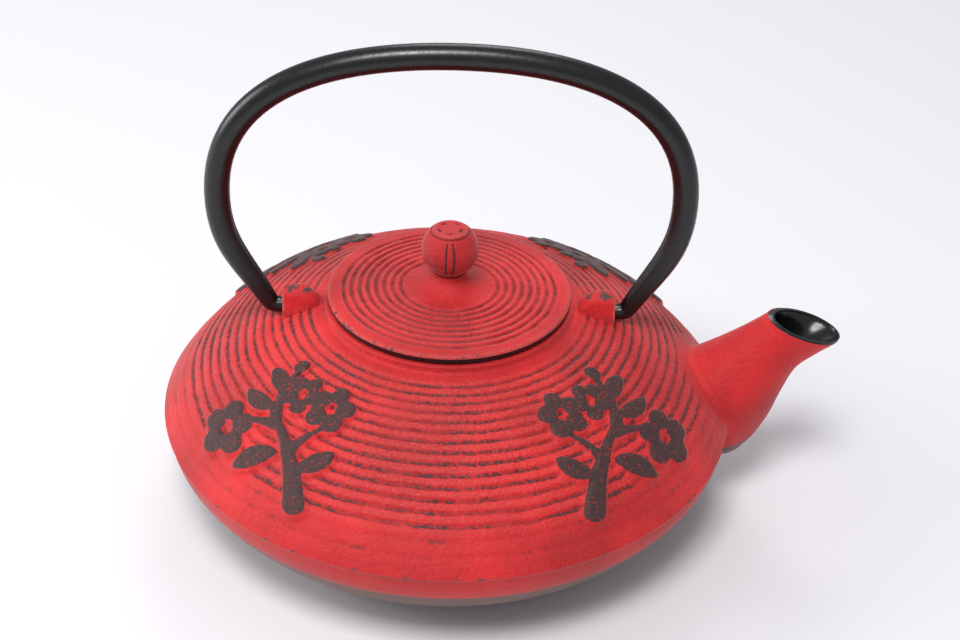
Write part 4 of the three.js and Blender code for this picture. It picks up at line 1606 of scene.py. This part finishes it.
@dataclass
class Lid:
    """The lid casting, its knob, and the rivet and washer that hold the knob."""

    underside: float
    radius: float
    boss_top: float
    rim_thickness: float = 2.4 * MM
    rounding: float = 0.8 * MM
    crown: float = 1.2 * MM
    boss_foot_radius: float = 12.2 * MM
    boss_top_radius: float = 4.9 * MM
    skirt_radius: float = 28.7 * MM
    skirt_wall: float = 2 * MM
    skirt_depth: float = 5 * MM
    bore: float = 1.9 * MM
    # The black reaches this far up the rim's side: painted shade under the rim.
    rim_shade_band: float = 1.65 * MM
    rings_start: tuple[float, float] = (12.6 * MM, 13.4 * MM)
    rings_end: tuple[float, float] = (31.4 * MM, 32.2 * MM)
    sandy_from: float = 11 * MM
    shank: float = 1.6 * MM
    sharp_from: float = 50.0
    small_sharp_from: float = 35.0
    row_step: float = 0.3 * MM
    sides: int = 400
    rings: CastRings = field(default_factory=lambda: CastRings(LID_RINGS))

    @classmethod
    def in_frame(cls) -> "Lid":
        """Reads the lid's overall sizes from the frame."""
        low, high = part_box("lid")
        return cls(underside=low.z + cls.skirt_depth, radius=high.y, boss_top=high.z)

    def outline(self) -> np.ndarray:
        """The lid's section, from its bore out under the rim and back over the top.

        Returns:
            Rows of distance and height.
        """
        r, low, e = self.radius, self.underside, self.rounding
        rim_top = low + self.rim_thickness
        foot = rim_top + self.crown
        skirt = self.skirt_radius
        start, bend, end = (r - 2 * e, rim_top), ((r + self.boss_foot_radius) / 2, foot), (self.boss_foot_radius, foot)
        top = quadratic(start, bend, end, 60)
        boss = quadratic((self.boss_foot_radius, foot), (self.boss_top_radius + e, foot + e),
                         (self.boss_top_radius, self.boss_top), 40)
        return chained(
            [(self.bore, low)], [(skirt - self.skirt_wall, low)],
            [(skirt - self.skirt_wall, low - self.skirt_depth)], [(skirt, low - self.skirt_depth)],
            [(skirt, low)], arc(r - e, low + e, e, -90, 0, 5), [(r, low + self.rim_shade_band)],
            arc(r - e, rim_top - e, e, 0, 90, 7),
            spaced(top, self.row_step), spaced(boss, self.row_step),
            [(self.boss_top_radius - 0.4 * MM, self.boss_top)], [(self.bore, self.boss_top)])

    def build(self, palette: Palette) -> None:
        """Builds the lid and what is on it, and dresses them.

        Args:
            palette: The finishes.
        """
        piece = turned("lid_casting", self.outline(), self.sides)
        places = corners(piece)
        reach = np.hypot(places[:, 0], places[:, 1])
        upper = places[:, 2] > self.underside + self.rim_thickness * 0.6
        ringed = smoothstep(*self.rings_start, reach) * (1 - smoothstep(*self.rings_end, reach))
        mark(piece, Mark.RINGS, upper * ringed)
        mark(piece, Mark.GRAIN, np.where(upper & (reach > self.sandy_from), 0.8, 0.3))
        rim = smoothstep(self.radius - 1.2 * MM, self.radius - 0.3 * MM, reach)
        mark(piece, Mark.WEAR, rim * 0.6)
        # Paler rim edge: rubbed paint and painted highlight.
        mark(piece, Mark.EDGE, rim * 0.3)
        mark(piece, Mark.RELIEF, np.full(len(places), -1.0))
        mark_enamel(piece, self.is_black(piece))
        self.rings.cut(piece, palette.lid_red, palette.enamel)
        piece.data.set_sharp_from_angle(angle=math.radians(self.sharp_from))
        place(piece, Body.LID, Slot.RED_IRON, "lid")
        Knob.in_frame().build(palette)
        self.build_rivet(palette)

    def is_black(self, piece: Piece) -> np.ndarray:
        """Says which faces are black: the underside and the skirt, which have only the black coat, and
        a band up the rim's side, whose black is painted shade under the rim.

        Args:
            piece: The lid's casting.

        Returns:
            True for each black face.
        """
        centres = np.empty(len(piece.data.polygons) * 3, np.float32)
        piece.data.polygons.foreach_get("center", centres)
        return centres[2::3] < self.underside + self.rim_shade_band

    def build_rivet(self, palette: Palette) -> None:
        """Builds the turned-over rivet and the washer above its head.

        Args:
            palette: The finishes.
        """
        low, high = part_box("knob_rivet")
        washer_low, washer_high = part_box("knob_washer")
        head, shank = high.x, self.shank
        top, under = washer_low.z - 0.3 * MM, low.z
        dome = quadratic((0, under), (head * 0.8, under), (head, top - 0.5 * MM), 10)
        rivet = turned("knob_rivet_turned", chained(
            dome, [(head, top)], [(shank + 0.2 * MM, top)],
            [(shank, top + 0.2 * MM)], [(shank, high.z - 0.4 * MM)], [(shank - 0.4 * MM, high.z)], [(0, high.z)]), 48)
        ring = washer_high.x
        e = 0.15 * MM
        washer = turned("knob_washer_pressed", chained(
            [(self.bore, washer_low.z)], [(ring - e, washer_low.z)], [(ring, washer_low.z + e)],
            [(ring, washer_high.z - e)], [(ring - e, washer_high.z)], [(self.bore, washer_high.z)]), 64)
        for piece, node in ((rivet, "knob_rivet"), (washer, "knob_washer")):
            piece.data.set_sharp_from_angle(angle=math.radians(self.small_sharp_from))
            paint(piece, palette.plain)
            place(piece, Body.LID, Slot.PLAIN_STEEL, node)


@dataclass
class Knob:
    """The ball knob: a raised cap with five slots, two upright cuts in front and a level cut beside them."""

    seat: float
    top: float
    radius: float = 8.2 * MM
    seat_radius: float = 4.5 * MM
    cap_radius: float = 5.3 * MM
    bore: float = 1.9 * MM
    bore_depth: float = 6.3 * MM
    cut_depth: float = 0.5 * MM
    upright_cuts: tuple[tuple[float, float, float], ...] = (
        (-0.75 * MM, -0.3 * MM, 0.45 * MM), (0.7 * MM, 0.7 * MM, 0.62 * MM))
    upright_half: float = 5.2 * MM
    level_half: float = 0.42 * MM
    slots: int = 5
    slot_reach: float = 3.2 * MM
    slot_halves: tuple[float, float] = (0.5 * MM, 1.35 * MM)
    sharp_from: float = 60.0
    sides: int = 220

    @classmethod
    def in_frame(cls) -> "Knob":
        """Reads the knob's seat and top from the frame."""
        low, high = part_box("lid_knob")
        return cls(seat=low.z, top=high.z)

    @property
    def centre(self) -> float:
        """Height of the ball's centre."""
        return self.seat + math.sqrt(self.radius ** 2 - self.seat_radius ** 2)

    def outline(self) -> np.ndarray:
        """The knob's section, from its bore out round the ball and up over the cap.

        Returns:
            Rows of distance and height.
        """
        low = -math.degrees(math.acos(self.seat_radius / self.radius))
        high = math.degrees(math.acos((self.cap_radius + 0.55 * MM) / self.radius))
        ball = arc(0, self.centre, self.radius, low, high, 90)
        shoulder = ball[-1]
        cap = self.cap_radius
        step = chained([(cap + 0.25 * MM, shoulder[1] - 0.2 * MM)], [(cap, shoulder[1] - 0.1 * MM)],
                       [(cap, shoulder[1] + 0.15 * MM)],
                       quadratic((cap - 0.1 * MM, self.top - 0.3 * MM), (cap - 0.4 * MM, self.top - 0.02 * MM),
                                 (cap - 1.1 * MM, self.top), 6))
        flat = np.linspace((cap - 1.3 * MM, self.top), (0, self.top), 16)
        return chained([(0, self.seat + self.bore_depth)], [(self.bore, self.seat + self.bore_depth)],
                       [(self.bore, self.seat)], ball, step, flat)

    def cuts(self, places: np.ndarray) -> np.ndarray:
        """How deep the cuts are at each corner, from 0 to 1.

        Args:
            places: The knob's corners.

        Returns:
            One share for each corner.
        """
        x, y = places[:, 0], places[:, 1]
        z = places[:, 2] - self.centre
        front = y < 0
        depth = np.zeros(len(places))
        share = np.clip(1 - (z / self.upright_half) ** 2, 0, None)
        for middle, bulge, width in self.upright_cuts:
            away = np.abs(x - (middle + bulge * share)) / (width * (0.35 + 0.65 * share))
            depth = np.maximum(depth, front * (share > 0) * (1 - smoothstep(0.35, 1.0, away)))
        along = smoothstep(-8.2 * MM, -7.0 * MM, x) * (1 - smoothstep(-2.2 * MM, -1.5 * MM, x))
        level = -1.6 * MM - 0.9 * MM * (1 - (x / (8 * MM)) ** 2)
        away = np.abs(z - level) / self.level_half
        depth = np.maximum(depth, front * along * (1 - smoothstep(0.3, 1.0, away)))
        on_cap = places[:, 2] > self.top - 0.35 * MM
        for slot in range(self.slots):
            angle = math.radians(-90 + slot * 360 / self.slots)
            radial = x * math.cos(angle) + y * math.sin(angle)
            tangent = -x * math.sin(angle) + y * math.cos(angle)
            away = np.hypot((radial - self.slot_reach) / self.slot_halves[0], tangent / self.slot_halves[1])
            depth = np.maximum(depth, on_cap * (1 - smoothstep(0.45, 1.0, away)))
        return depth

    def build(self, palette: Palette) -> None:
        """Builds the knob and dresses it.

        Args:
            palette: The finishes.
        """
        piece = turned("lid_knob_ball", self.outline(), self.sides)
        places = corners(piece)
        reach = np.hypot(places[:, 0], places[:, 1])
        outside = (reach > self.bore * 1.05) | (places[:, 2] > self.top - 0.3 * MM)
        depth = self.cuts(places) * outside
        move_corners(piece, places - normals_of(piece) * (depth * self.cut_depth)[:, None])
        # Darker in the cuts and under the cap: painted shade; darker at the seat: the dark joint where the knob meets
        # the lid.
        low = 1 - smoothstep(self.seat + 0.1 * MM, self.seat + 0.45 * MM, places[:, 2])
        under_cap = outside & (np.abs(reach - self.cap_radius - 0.15 * MM) < 0.3 * MM) & (places[:, 2] > self.centre)
        under_cap &= places[:, 2] < self.top - 0.5 * MM
        marks = np.maximum(smoothstep(0.35, 0.9, depth) * 0.92, np.maximum(low * 0.9, under_cap * 0.45))
        mark(piece, Mark.CREASE, marks)
        mark(piece, Mark.RELIEF, np.full(len(places), -1.0))
        # Paler cap edge: painted highlight, with rubbing.
        cap_edge = outside & (places[:, 2] > self.top - 0.6 * MM) & (reach > self.cap_radius - 1.2 * MM)
        mark(piece, Mark.EDGE, cap_edge * 0.2)
        piece.data.set_sharp_from_angle(angle=math.radians(self.sharp_from))
        paint(piece, palette.knob_shaded_red)
        place(piece, Body.LID, Slot.RED_IRON, "lid_knob")


# ---- Infuser ----


@dataclass
class WovenWire:
    """Plain-weave wire cloth, made by a node tree. The pitch is coarser than the real 0.5 mm, so that
    the weave shows."""

    name: str
    pitch: float = 1.35 * MM
    wire: float = 0.17 * MM
    wire_sides: int = 4
    tree: Tree = field(init=False)
    given: Outputs = field(init=False)

    def start(self) -> None:
        """Starts the tree with this weave's named inputs."""
        self.tree = bpy.data.node_groups.new(self.name, "GeometryNodeTree")
        self.tree.interface.new_socket("Geometry", in_out="OUTPUT", socket_type="NodeSocketGeometry")
        for name in ("Radius", "Low", "High", "Pitch", "Wire"):
            self.tree.interface.new_socket(name, in_out="INPUT", socket_type="NodeSocketFloat")
        self.given = add_node(self.tree, "NodeGroupInput").outputs

    def wave(self, first: Node, second: Node, sign: float) -> Node:
        """How far a wire stands in or out where it passes under and over the crossing ones.

        Args:
            first: Distance along the cloth one way, in pitches.
            second: Distance along it the other way, in pitches.
            sign: 1 for one set of wires, -1 for the other.

        Returns:
            The node with the offset.
        """
        tree = self.tree
        turns = [
            add_node(tree, "ShaderNodeMath", {0: way, 1: math.pi}, operation="MULTIPLY") for way in (first, second)
        ]
        waves = [add_node(tree, "ShaderNodeMath", {0: turn}, operation="COSINE") for turn in turns]
        crossed = add_node(tree, "ShaderNodeMath", {0: waves[0], 1: waves[1]}, operation="MULTIPLY")
        sized = add_node(tree, "ShaderNodeMath", {0: crossed, 1: self.given["Wire"]}, operation="MULTIPLY")
        return add_node(tree, "ShaderNodeMath", {0: sized, 1: sign}, operation="MULTIPLY")

    def make(self, curves: list[Node], radius: float, low: float, high: float, material: Material) -> Piece:
        """Gives the wires their thickness and material, and runs the tree.

        Args:
            curves: Nodes with the wires' centrelines.
            radius: Radius of the cloth.
            low: Its lowest height.
            high: Its highest height.
            material: The wires' material.

        Returns:
            The woven piece, a plain mesh.
        """
        tree, given = self.tree, self.given
        joined = add_node(tree, "GeometryNodeJoinGeometry")
        for curve in curves:
            tree.links.new(curve.outputs[0], joined.inputs[0])
        section = add_node(tree, "GeometryNodeCurvePrimitiveCircle",
                           {"Resolution": self.wire_sides, "Radius": given["Wire"]}, mode="RADIUS")
        tubes = add_node(tree, "GeometryNodeCurveToMesh",
                         {"Curve": joined, "Profile Curve": section, "Fill Caps": True})
        smooth = add_node(tree, "GeometryNodeSetShadeSmooth", {"Geometry": tubes})
        real = add_node(tree, "GeometryNodeRealizeInstances", {"Geometry": smooth})
        done = add_node(tree, "GeometryNodeSetMaterial", {"Geometry": real, "Material": material})
        add_node(tree, "NodeGroupOutput", {0: done})
        piece = bpy.data.objects.new(self.name, bpy.data.meshes.new(self.name))
        bpy.context.scene.collection.objects.link(piece)
        run_tree(piece, tree, {"Radius": radius, "Low": low, "High": high, "Pitch": self.pitch, "Wire": self.wire})
        return piece


@dataclass
class WovenWall(WovenWire):
    """The infuser's woven cylinder: upright wires, and rings that pass in front of and behind them."""

    uprights: int = 132

    def build(self, radius: float, low: float, high: float, material: Material) -> Piece:
        """Builds the wall.

        Args:
            radius: Radius of the middle of the cloth.
            low: Its lower edge.
            high: Its upper edge.
            material: The wire's material.

        Returns:
            The woven wall.
        """
        self.start()
        tree, given = self.tree, self.given
        rings = int((high - low) / self.pitch)
        ends = [
            add_node(tree, "ShaderNodeCombineXYZ", {0: given["Radius"], 2: given[name]}) for name in ("Low", "High")
        ]
        upright = add_node(tree, "GeometryNodeCurvePrimitiveLine", {"Start": ends[0], "End": ends[1]}, mode="POINTS")
        fine = add_node(tree, "GeometryNodeResampleCurve", {"Curve": upright, "Count": rings * 2 + 1})
        places = add_node(tree, "GeometryNodeMeshLine", {"Count": self.uprights, "Offset": (0.0, 0.0, 0.0)})
        number = add_node(tree, "GeometryNodeInputIndex")
        turn = add_node(tree, "ShaderNodeMath", {0: number, 1: 2 * math.pi / self.uprights}, operation="MULTIPLY")
        about = add_node(tree, "ShaderNodeCombineXYZ", {2: turn})
        stood = add_node(tree, "GeometryNodeInstanceOnPoints", {"Points": places, "Instance": fine, "Rotation": about})
        hoop = add_node(tree, "GeometryNodeCurvePrimitiveCircle",
                        {"Resolution": self.uprights * 2, "Radius": given["Radius"]}, mode="RADIUS")
        step = add_node(tree, "ShaderNodeCombineXYZ", {2: given["Pitch"]})
        first = add_node(tree, "ShaderNodeCombineXYZ", {2: given["Low"]})
        levels = add_node(tree, "GeometryNodeMeshLine", {"Count": rings, "Start Location": first, "Offset": step})
        hooped = add_node(tree, "GeometryNodeInstanceOnPoints", {"Points": levels, "Instance": hoop})
        return self.make([self.woven(stood, 1.0), self.woven(hooped, -1.0)], radius, low, high, material)

    def woven(self, curve: Node, sign: float) -> Node:
        """Moves a set of wires in and out where the others cross.

        Args:
            curve: The wires' centrelines.
            sign: 1 for the uprights, -1 for the rings.

        Returns:
            The node with the woven centrelines.
        """
        tree, given = self.tree, self.given
        real = add_node(tree, "GeometryNodeRealizeInstances", {"Geometry": curve})
        parts = add_node(tree, "ShaderNodeSeparateXYZ", {0: add_node(tree, "GeometryNodeInputPosition")})
        turn = add_node(tree, "ShaderNodeMath", {0: parts.outputs["Y"], 1: parts.outputs["X"]}, operation="ARCTAN2")
        around = add_node(tree, "ShaderNodeMath", {0: turn, 1: self.uprights / (2 * math.pi)}, operation="MULTIPLY")
        above = add_node(tree, "ShaderNodeMath", {0: parts.outputs["Z"], 1: given["Low"]}, operation="SUBTRACT")
        up = add_node(tree, "ShaderNodeMath", {0: above, 1: given["Pitch"]}, operation="DIVIDE")
        rise = self.wave(around, up, sign)
        flat = add_node(tree, "ShaderNodeCombineXYZ", {0: parts.outputs["X"], 1: parts.outputs["Y"]})
        outwards = add_node(tree, "ShaderNodeVectorMath", {0: flat}, operation="NORMALIZE")
        offset = add_node(tree, "ShaderNodeVectorMath", {0: outwards, "Scale": rise}, operation="SCALE")
        return add_node(tree, "GeometryNodeSetPosition", {"Geometry": real, "Offset": offset})


@dataclass
class WovenFloor(WovenWire):
    """The infuser's woven disc: two sets of straight wires of the length that the circle leaves them."""

    def build(self, radius: float, height: float, material: Material) -> Piece:
        """Builds the floor.

        Args:
            radius: Radius of the disc.
            height: Height of the middle of the cloth.
            material: The wire's material.

        Returns:
            The woven floor.
        """
        self.start()
        tree, given = self.tree, self.given
        across = 2 * int(radius / self.pitch) + 1
        curves = []
        for turned_by, sign in ((0.0, 1.0), (math.pi / 2, -1.0)):
            line = add_node(tree, "GeometryNodeCurvePrimitiveLine",
                            {"Start": (-1.0, 0.0, 0.0), "End": (1.0, 0.0, 0.0)}, mode="POINTS")
            fine = add_node(tree, "GeometryNodeResampleCurve", {"Curve": line, "Count": across * 2})
            first = -(across - 1) / 2 * self.pitch
            points = add_node(tree, "GeometryNodeMeshLine",
                              {"Count": across, "Start Location": (0.0, first, 0.0), "Offset": (0.0, self.pitch, 0.0)})
            aside = add_node(
                tree, "ShaderNodeSeparateXYZ", {0: add_node(tree, "GeometryNodeInputPosition")}).outputs["Y"]
            squared = add_node(tree, "ShaderNodeMath", {0: aside, 1: aside}, operation="MULTIPLY")
            whole = add_node(tree, "ShaderNodeMath", {0: given["Radius"], 1: given["Radius"]}, operation="MULTIPLY")
            left = add_node(tree, "ShaderNodeMath", {0: whole, 1: squared}, operation="SUBTRACT")
            half = add_node(tree, "ShaderNodeMath", {0: left}, operation="SQRT")
            size = add_node(tree, "ShaderNodeCombineXYZ", {0: half, 1: 1.0, 2: 1.0})
            laid = add_node(tree, "GeometryNodeInstanceOnPoints", {"Points": points, "Instance": fine, "Scale": size})
            real = add_node(tree, "GeometryNodeRealizeInstances", {"Geometry": laid})
            turned_set = add_node(tree, "GeometryNodeTransform", {"Geometry": real, "Rotation": (0.0, 0.0, turned_by)})
            parts = add_node(tree, "ShaderNodeSeparateXYZ", {0: add_node(tree, "GeometryNodeInputPosition")})
            ways = [add_node(tree, "ShaderNodeMath", {0: parts.outputs[k], 1: given["Pitch"]}, operation="DIVIDE")
                    for k in (0, 1)]
            rise = self.wave(ways[0], ways[1], sign)
            up = add_node(tree, "ShaderNodeMath", {0: rise, 1: given["Low"]}, operation="ADD")
            offset = add_node(tree, "ShaderNodeCombineXYZ", {2: up})
            curves.append(add_node(tree, "GeometryNodeSetPosition", {"Geometry": turned_set, "Offset": offset}))
        return self.make(curves, radius, height, height, material)


@dataclass
class Infuser:
    """The basket that hangs in the mouth: flanged rim, woven wall, base channel and woven floor."""

    sheet: float = 0.6 * MM
    band_radius: float = 29.6 * MM
    flange_sheet: float = 0.8 * MM
    bend: float = 0.5 * MM
    bead: float = 0.4 * MM
    lip: float = 4 * MM
    margin: float = 0.2 * MM
    sharp_from: float = 40.0
    sides: int = 160

    def build(self, palette: Palette) -> None:
        """Builds the basket and dresses it.

        Args:
            palette: The finishes.
        """
        low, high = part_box("infuser_rim")
        flange = high.x
        band, sheet = self.band_radius, self.sheet
        under = high.z - self.flange_sheet
        bend = self.bend
        rim = turned("infuser_rim_pressed", chained(
            [(band - sheet, low.z)], [(band, low.z)], [(band, under - bend)],
            arc(band + bend, under - bend, bend, 180, 90, 5),
            arc(flange - self.bead, under + self.bead, self.bead, -90, 90, 9),
            arc(band - sheet + 0.7 * MM, high.z - 0.7 * MM, 0.7 * MM, 90, 180, 5)), self.sides)
        base_low, base_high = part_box("infuser_base_ring")
        base = turned("infuser_base_channel", chained(
            [(band - self.lip, base_low.z)], arc(band - 0.8 * MM, base_low.z + 0.8 * MM, 0.8 * MM, -90, 0, 6),
            [(band, base_high.z)], [(band - sheet, base_high.z)],
            arc(band - sheet - 0.5 * MM, base_low.z + sheet + 0.5 * MM, 0.5 * MM, 0, -90, 4),
            [(band - self.lip, base_low.z + sheet)]), self.sides)
        for piece, node in ((rim, "infuser_rim"), (base, "infuser_base_ring")):
            piece.data.set_sharp_from_angle(angle=math.radians(self.sharp_from))
            paint(piece, palette.stainless)
            place(piece, Body.INFUSER, Slot.STAINLESS, node)
        wall_low, wall_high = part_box("infuser_wall")
        wall = WovenWall("infuser_woven_wall").build(
            wall_high.x - sheet / 2, wall_low.z + self.margin, wall_high.z - self.margin, palette.wire)
        place(wall, Body.INFUSER, Slot.WIRE, "infuser_wall")
        floor_low, floor_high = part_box("infuser_floor")
        floor = WovenFloor("infuser_woven_floor").build(
            floor_high.x - self.margin, (floor_low.z + floor_high.z) / 2, palette.wire)
        place(floor, Body.INFUSER, Slot.WIRE, "infuser_floor")


# ---- Studio ----


@dataclass(frozen=True)
class Softbox:
    """A square soft light that faces the pot."""

    name: str
    spot: tuple[float, float, float]
    size: float
    power: float


@dataclass
class Studio:
    """A pale table, soft lights and the camera."""

    equator: Vector = field(default_factory=lambda: Vector((0, 0, 31 * MM)))
    distance: float = 488.5 * MM
    elevation: float = 36.07
    roll: float = 1.3
    lens: float = 60.0
    sensor: float = 36.0
    shift: tuple[float, float] = (0.0346, 0.0776)
    table: str = "#e4e3e6"
    table_half: float = 4.0
    table_roughness: float = 0.6
    table_specular: float = 0.2
    air: str = "#f0f1f6"
    air_strength: float = 0.5
    softboxes: tuple[Softbox, ...] = (
        Softbox("front_softbox", (-0.14, -0.55, 1.15), 0.4, 11.0),
        Softbox("left_softbox", (-1.15, 0.05, 0.5), 0.6, 7.5),
        Softbox("back_softbox", (0.1, 1.1, 1.0), 0.6, 4.0),
    )

    def build(self) -> None:
        """Builds the table, the lights and the camera."""
        self.build_camera()
        self.build_table()
        self.build_lights()

    def build_camera(self) -> None:
        """Puts the camera in front of the pot, looking down at it."""
        camera = bpy.data.cameras.new("studio_camera")
        camera.lens = self.lens
        camera.sensor_width = self.sensor
        camera.shift_x, camera.shift_y = self.shift
        camera.clip_start, camera.clip_end = 0.01, 20.0
        holder = bpy.data.objects.new("studio_camera", camera)
        bpy.context.scene.collection.objects.link(holder)
        tilt, roll = math.radians(self.elevation), math.radians(self.roll)
        forwards = Vector((0, math.cos(tilt), -math.sin(tilt)))
        right = Vector((1, 0, 0))
        up = right.cross(forwards)
        turned_right = math.cos(roll) * right + math.sin(roll) * up
        turned_up = -math.sin(roll) * right + math.cos(roll) * up
        turned_axes = Matrix((turned_right, turned_up, -forwards)).transposed().to_4x4()
        holder.matrix_world = Matrix.Translation(self.equator - forwards * self.distance) @ turned_axes
        bpy.context.scene.camera = holder

    def build_table(self) -> None:
        """Makes the plain table top, whose matte paper gives the eye an even ground and soft shadows."""
        half = self.table_half
        table_corners = np.array([(-half, -half, 0), (half, -half, 0), (half, half, 0), (-half, half, 0)])
        table = mesh_object("table_top", table_corners, [[0, 1, 2, 3]])
        material, _, shader = new_material("pale_table_paper")
        shader.inputs["Base Color"].default_value = linear(self.table)
        shader.inputs["Roughness"].default_value = self.table_roughness
        shader.inputs["Specular IOR Level"].default_value = self.table_specular
        paint(table, material)

    def build_lights(self) -> None:
        """Makes the soft lights and the pale surroundings."""
        world = bpy.data.worlds.new("studio_air")
        bpy.context.scene.world = world
        world.use_nodes = True
        background = world.node_tree.nodes["Background"]
        background.inputs["Color"].default_value = linear(self.air)
        background.inputs["Strength"].default_value = self.air_strength
        for box in self.softboxes:
            light = bpy.data.lights.new(box.name, "AREA")
            light.size = box.size
            light.energy = box.power
            holder = bpy.data.objects.new(box.name, light)
            bpy.context.scene.collection.objects.link(holder)
            holder.location = box.spot
            holder.rotation_euler = (self.equator - Vector(box.spot)).to_track_quat("-Z", "Y").to_euler()


def main() -> None:
    """Builds the teapot on its frame and sets the studio up."""
    logging.basicConfig(level=logging.INFO, format="%(name)s %(message)s")
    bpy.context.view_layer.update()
    bpy.context.scene.view_settings.view_transform = "Standard"
    Studio().build()
    palette = Palette()
    Pot.in_frame().build(palette)
    Bail.in_frame().build(palette)
    Lid.in_frame().build(palette)
    Infuser().build(palette)


if __name__ == "__main__":
    main()
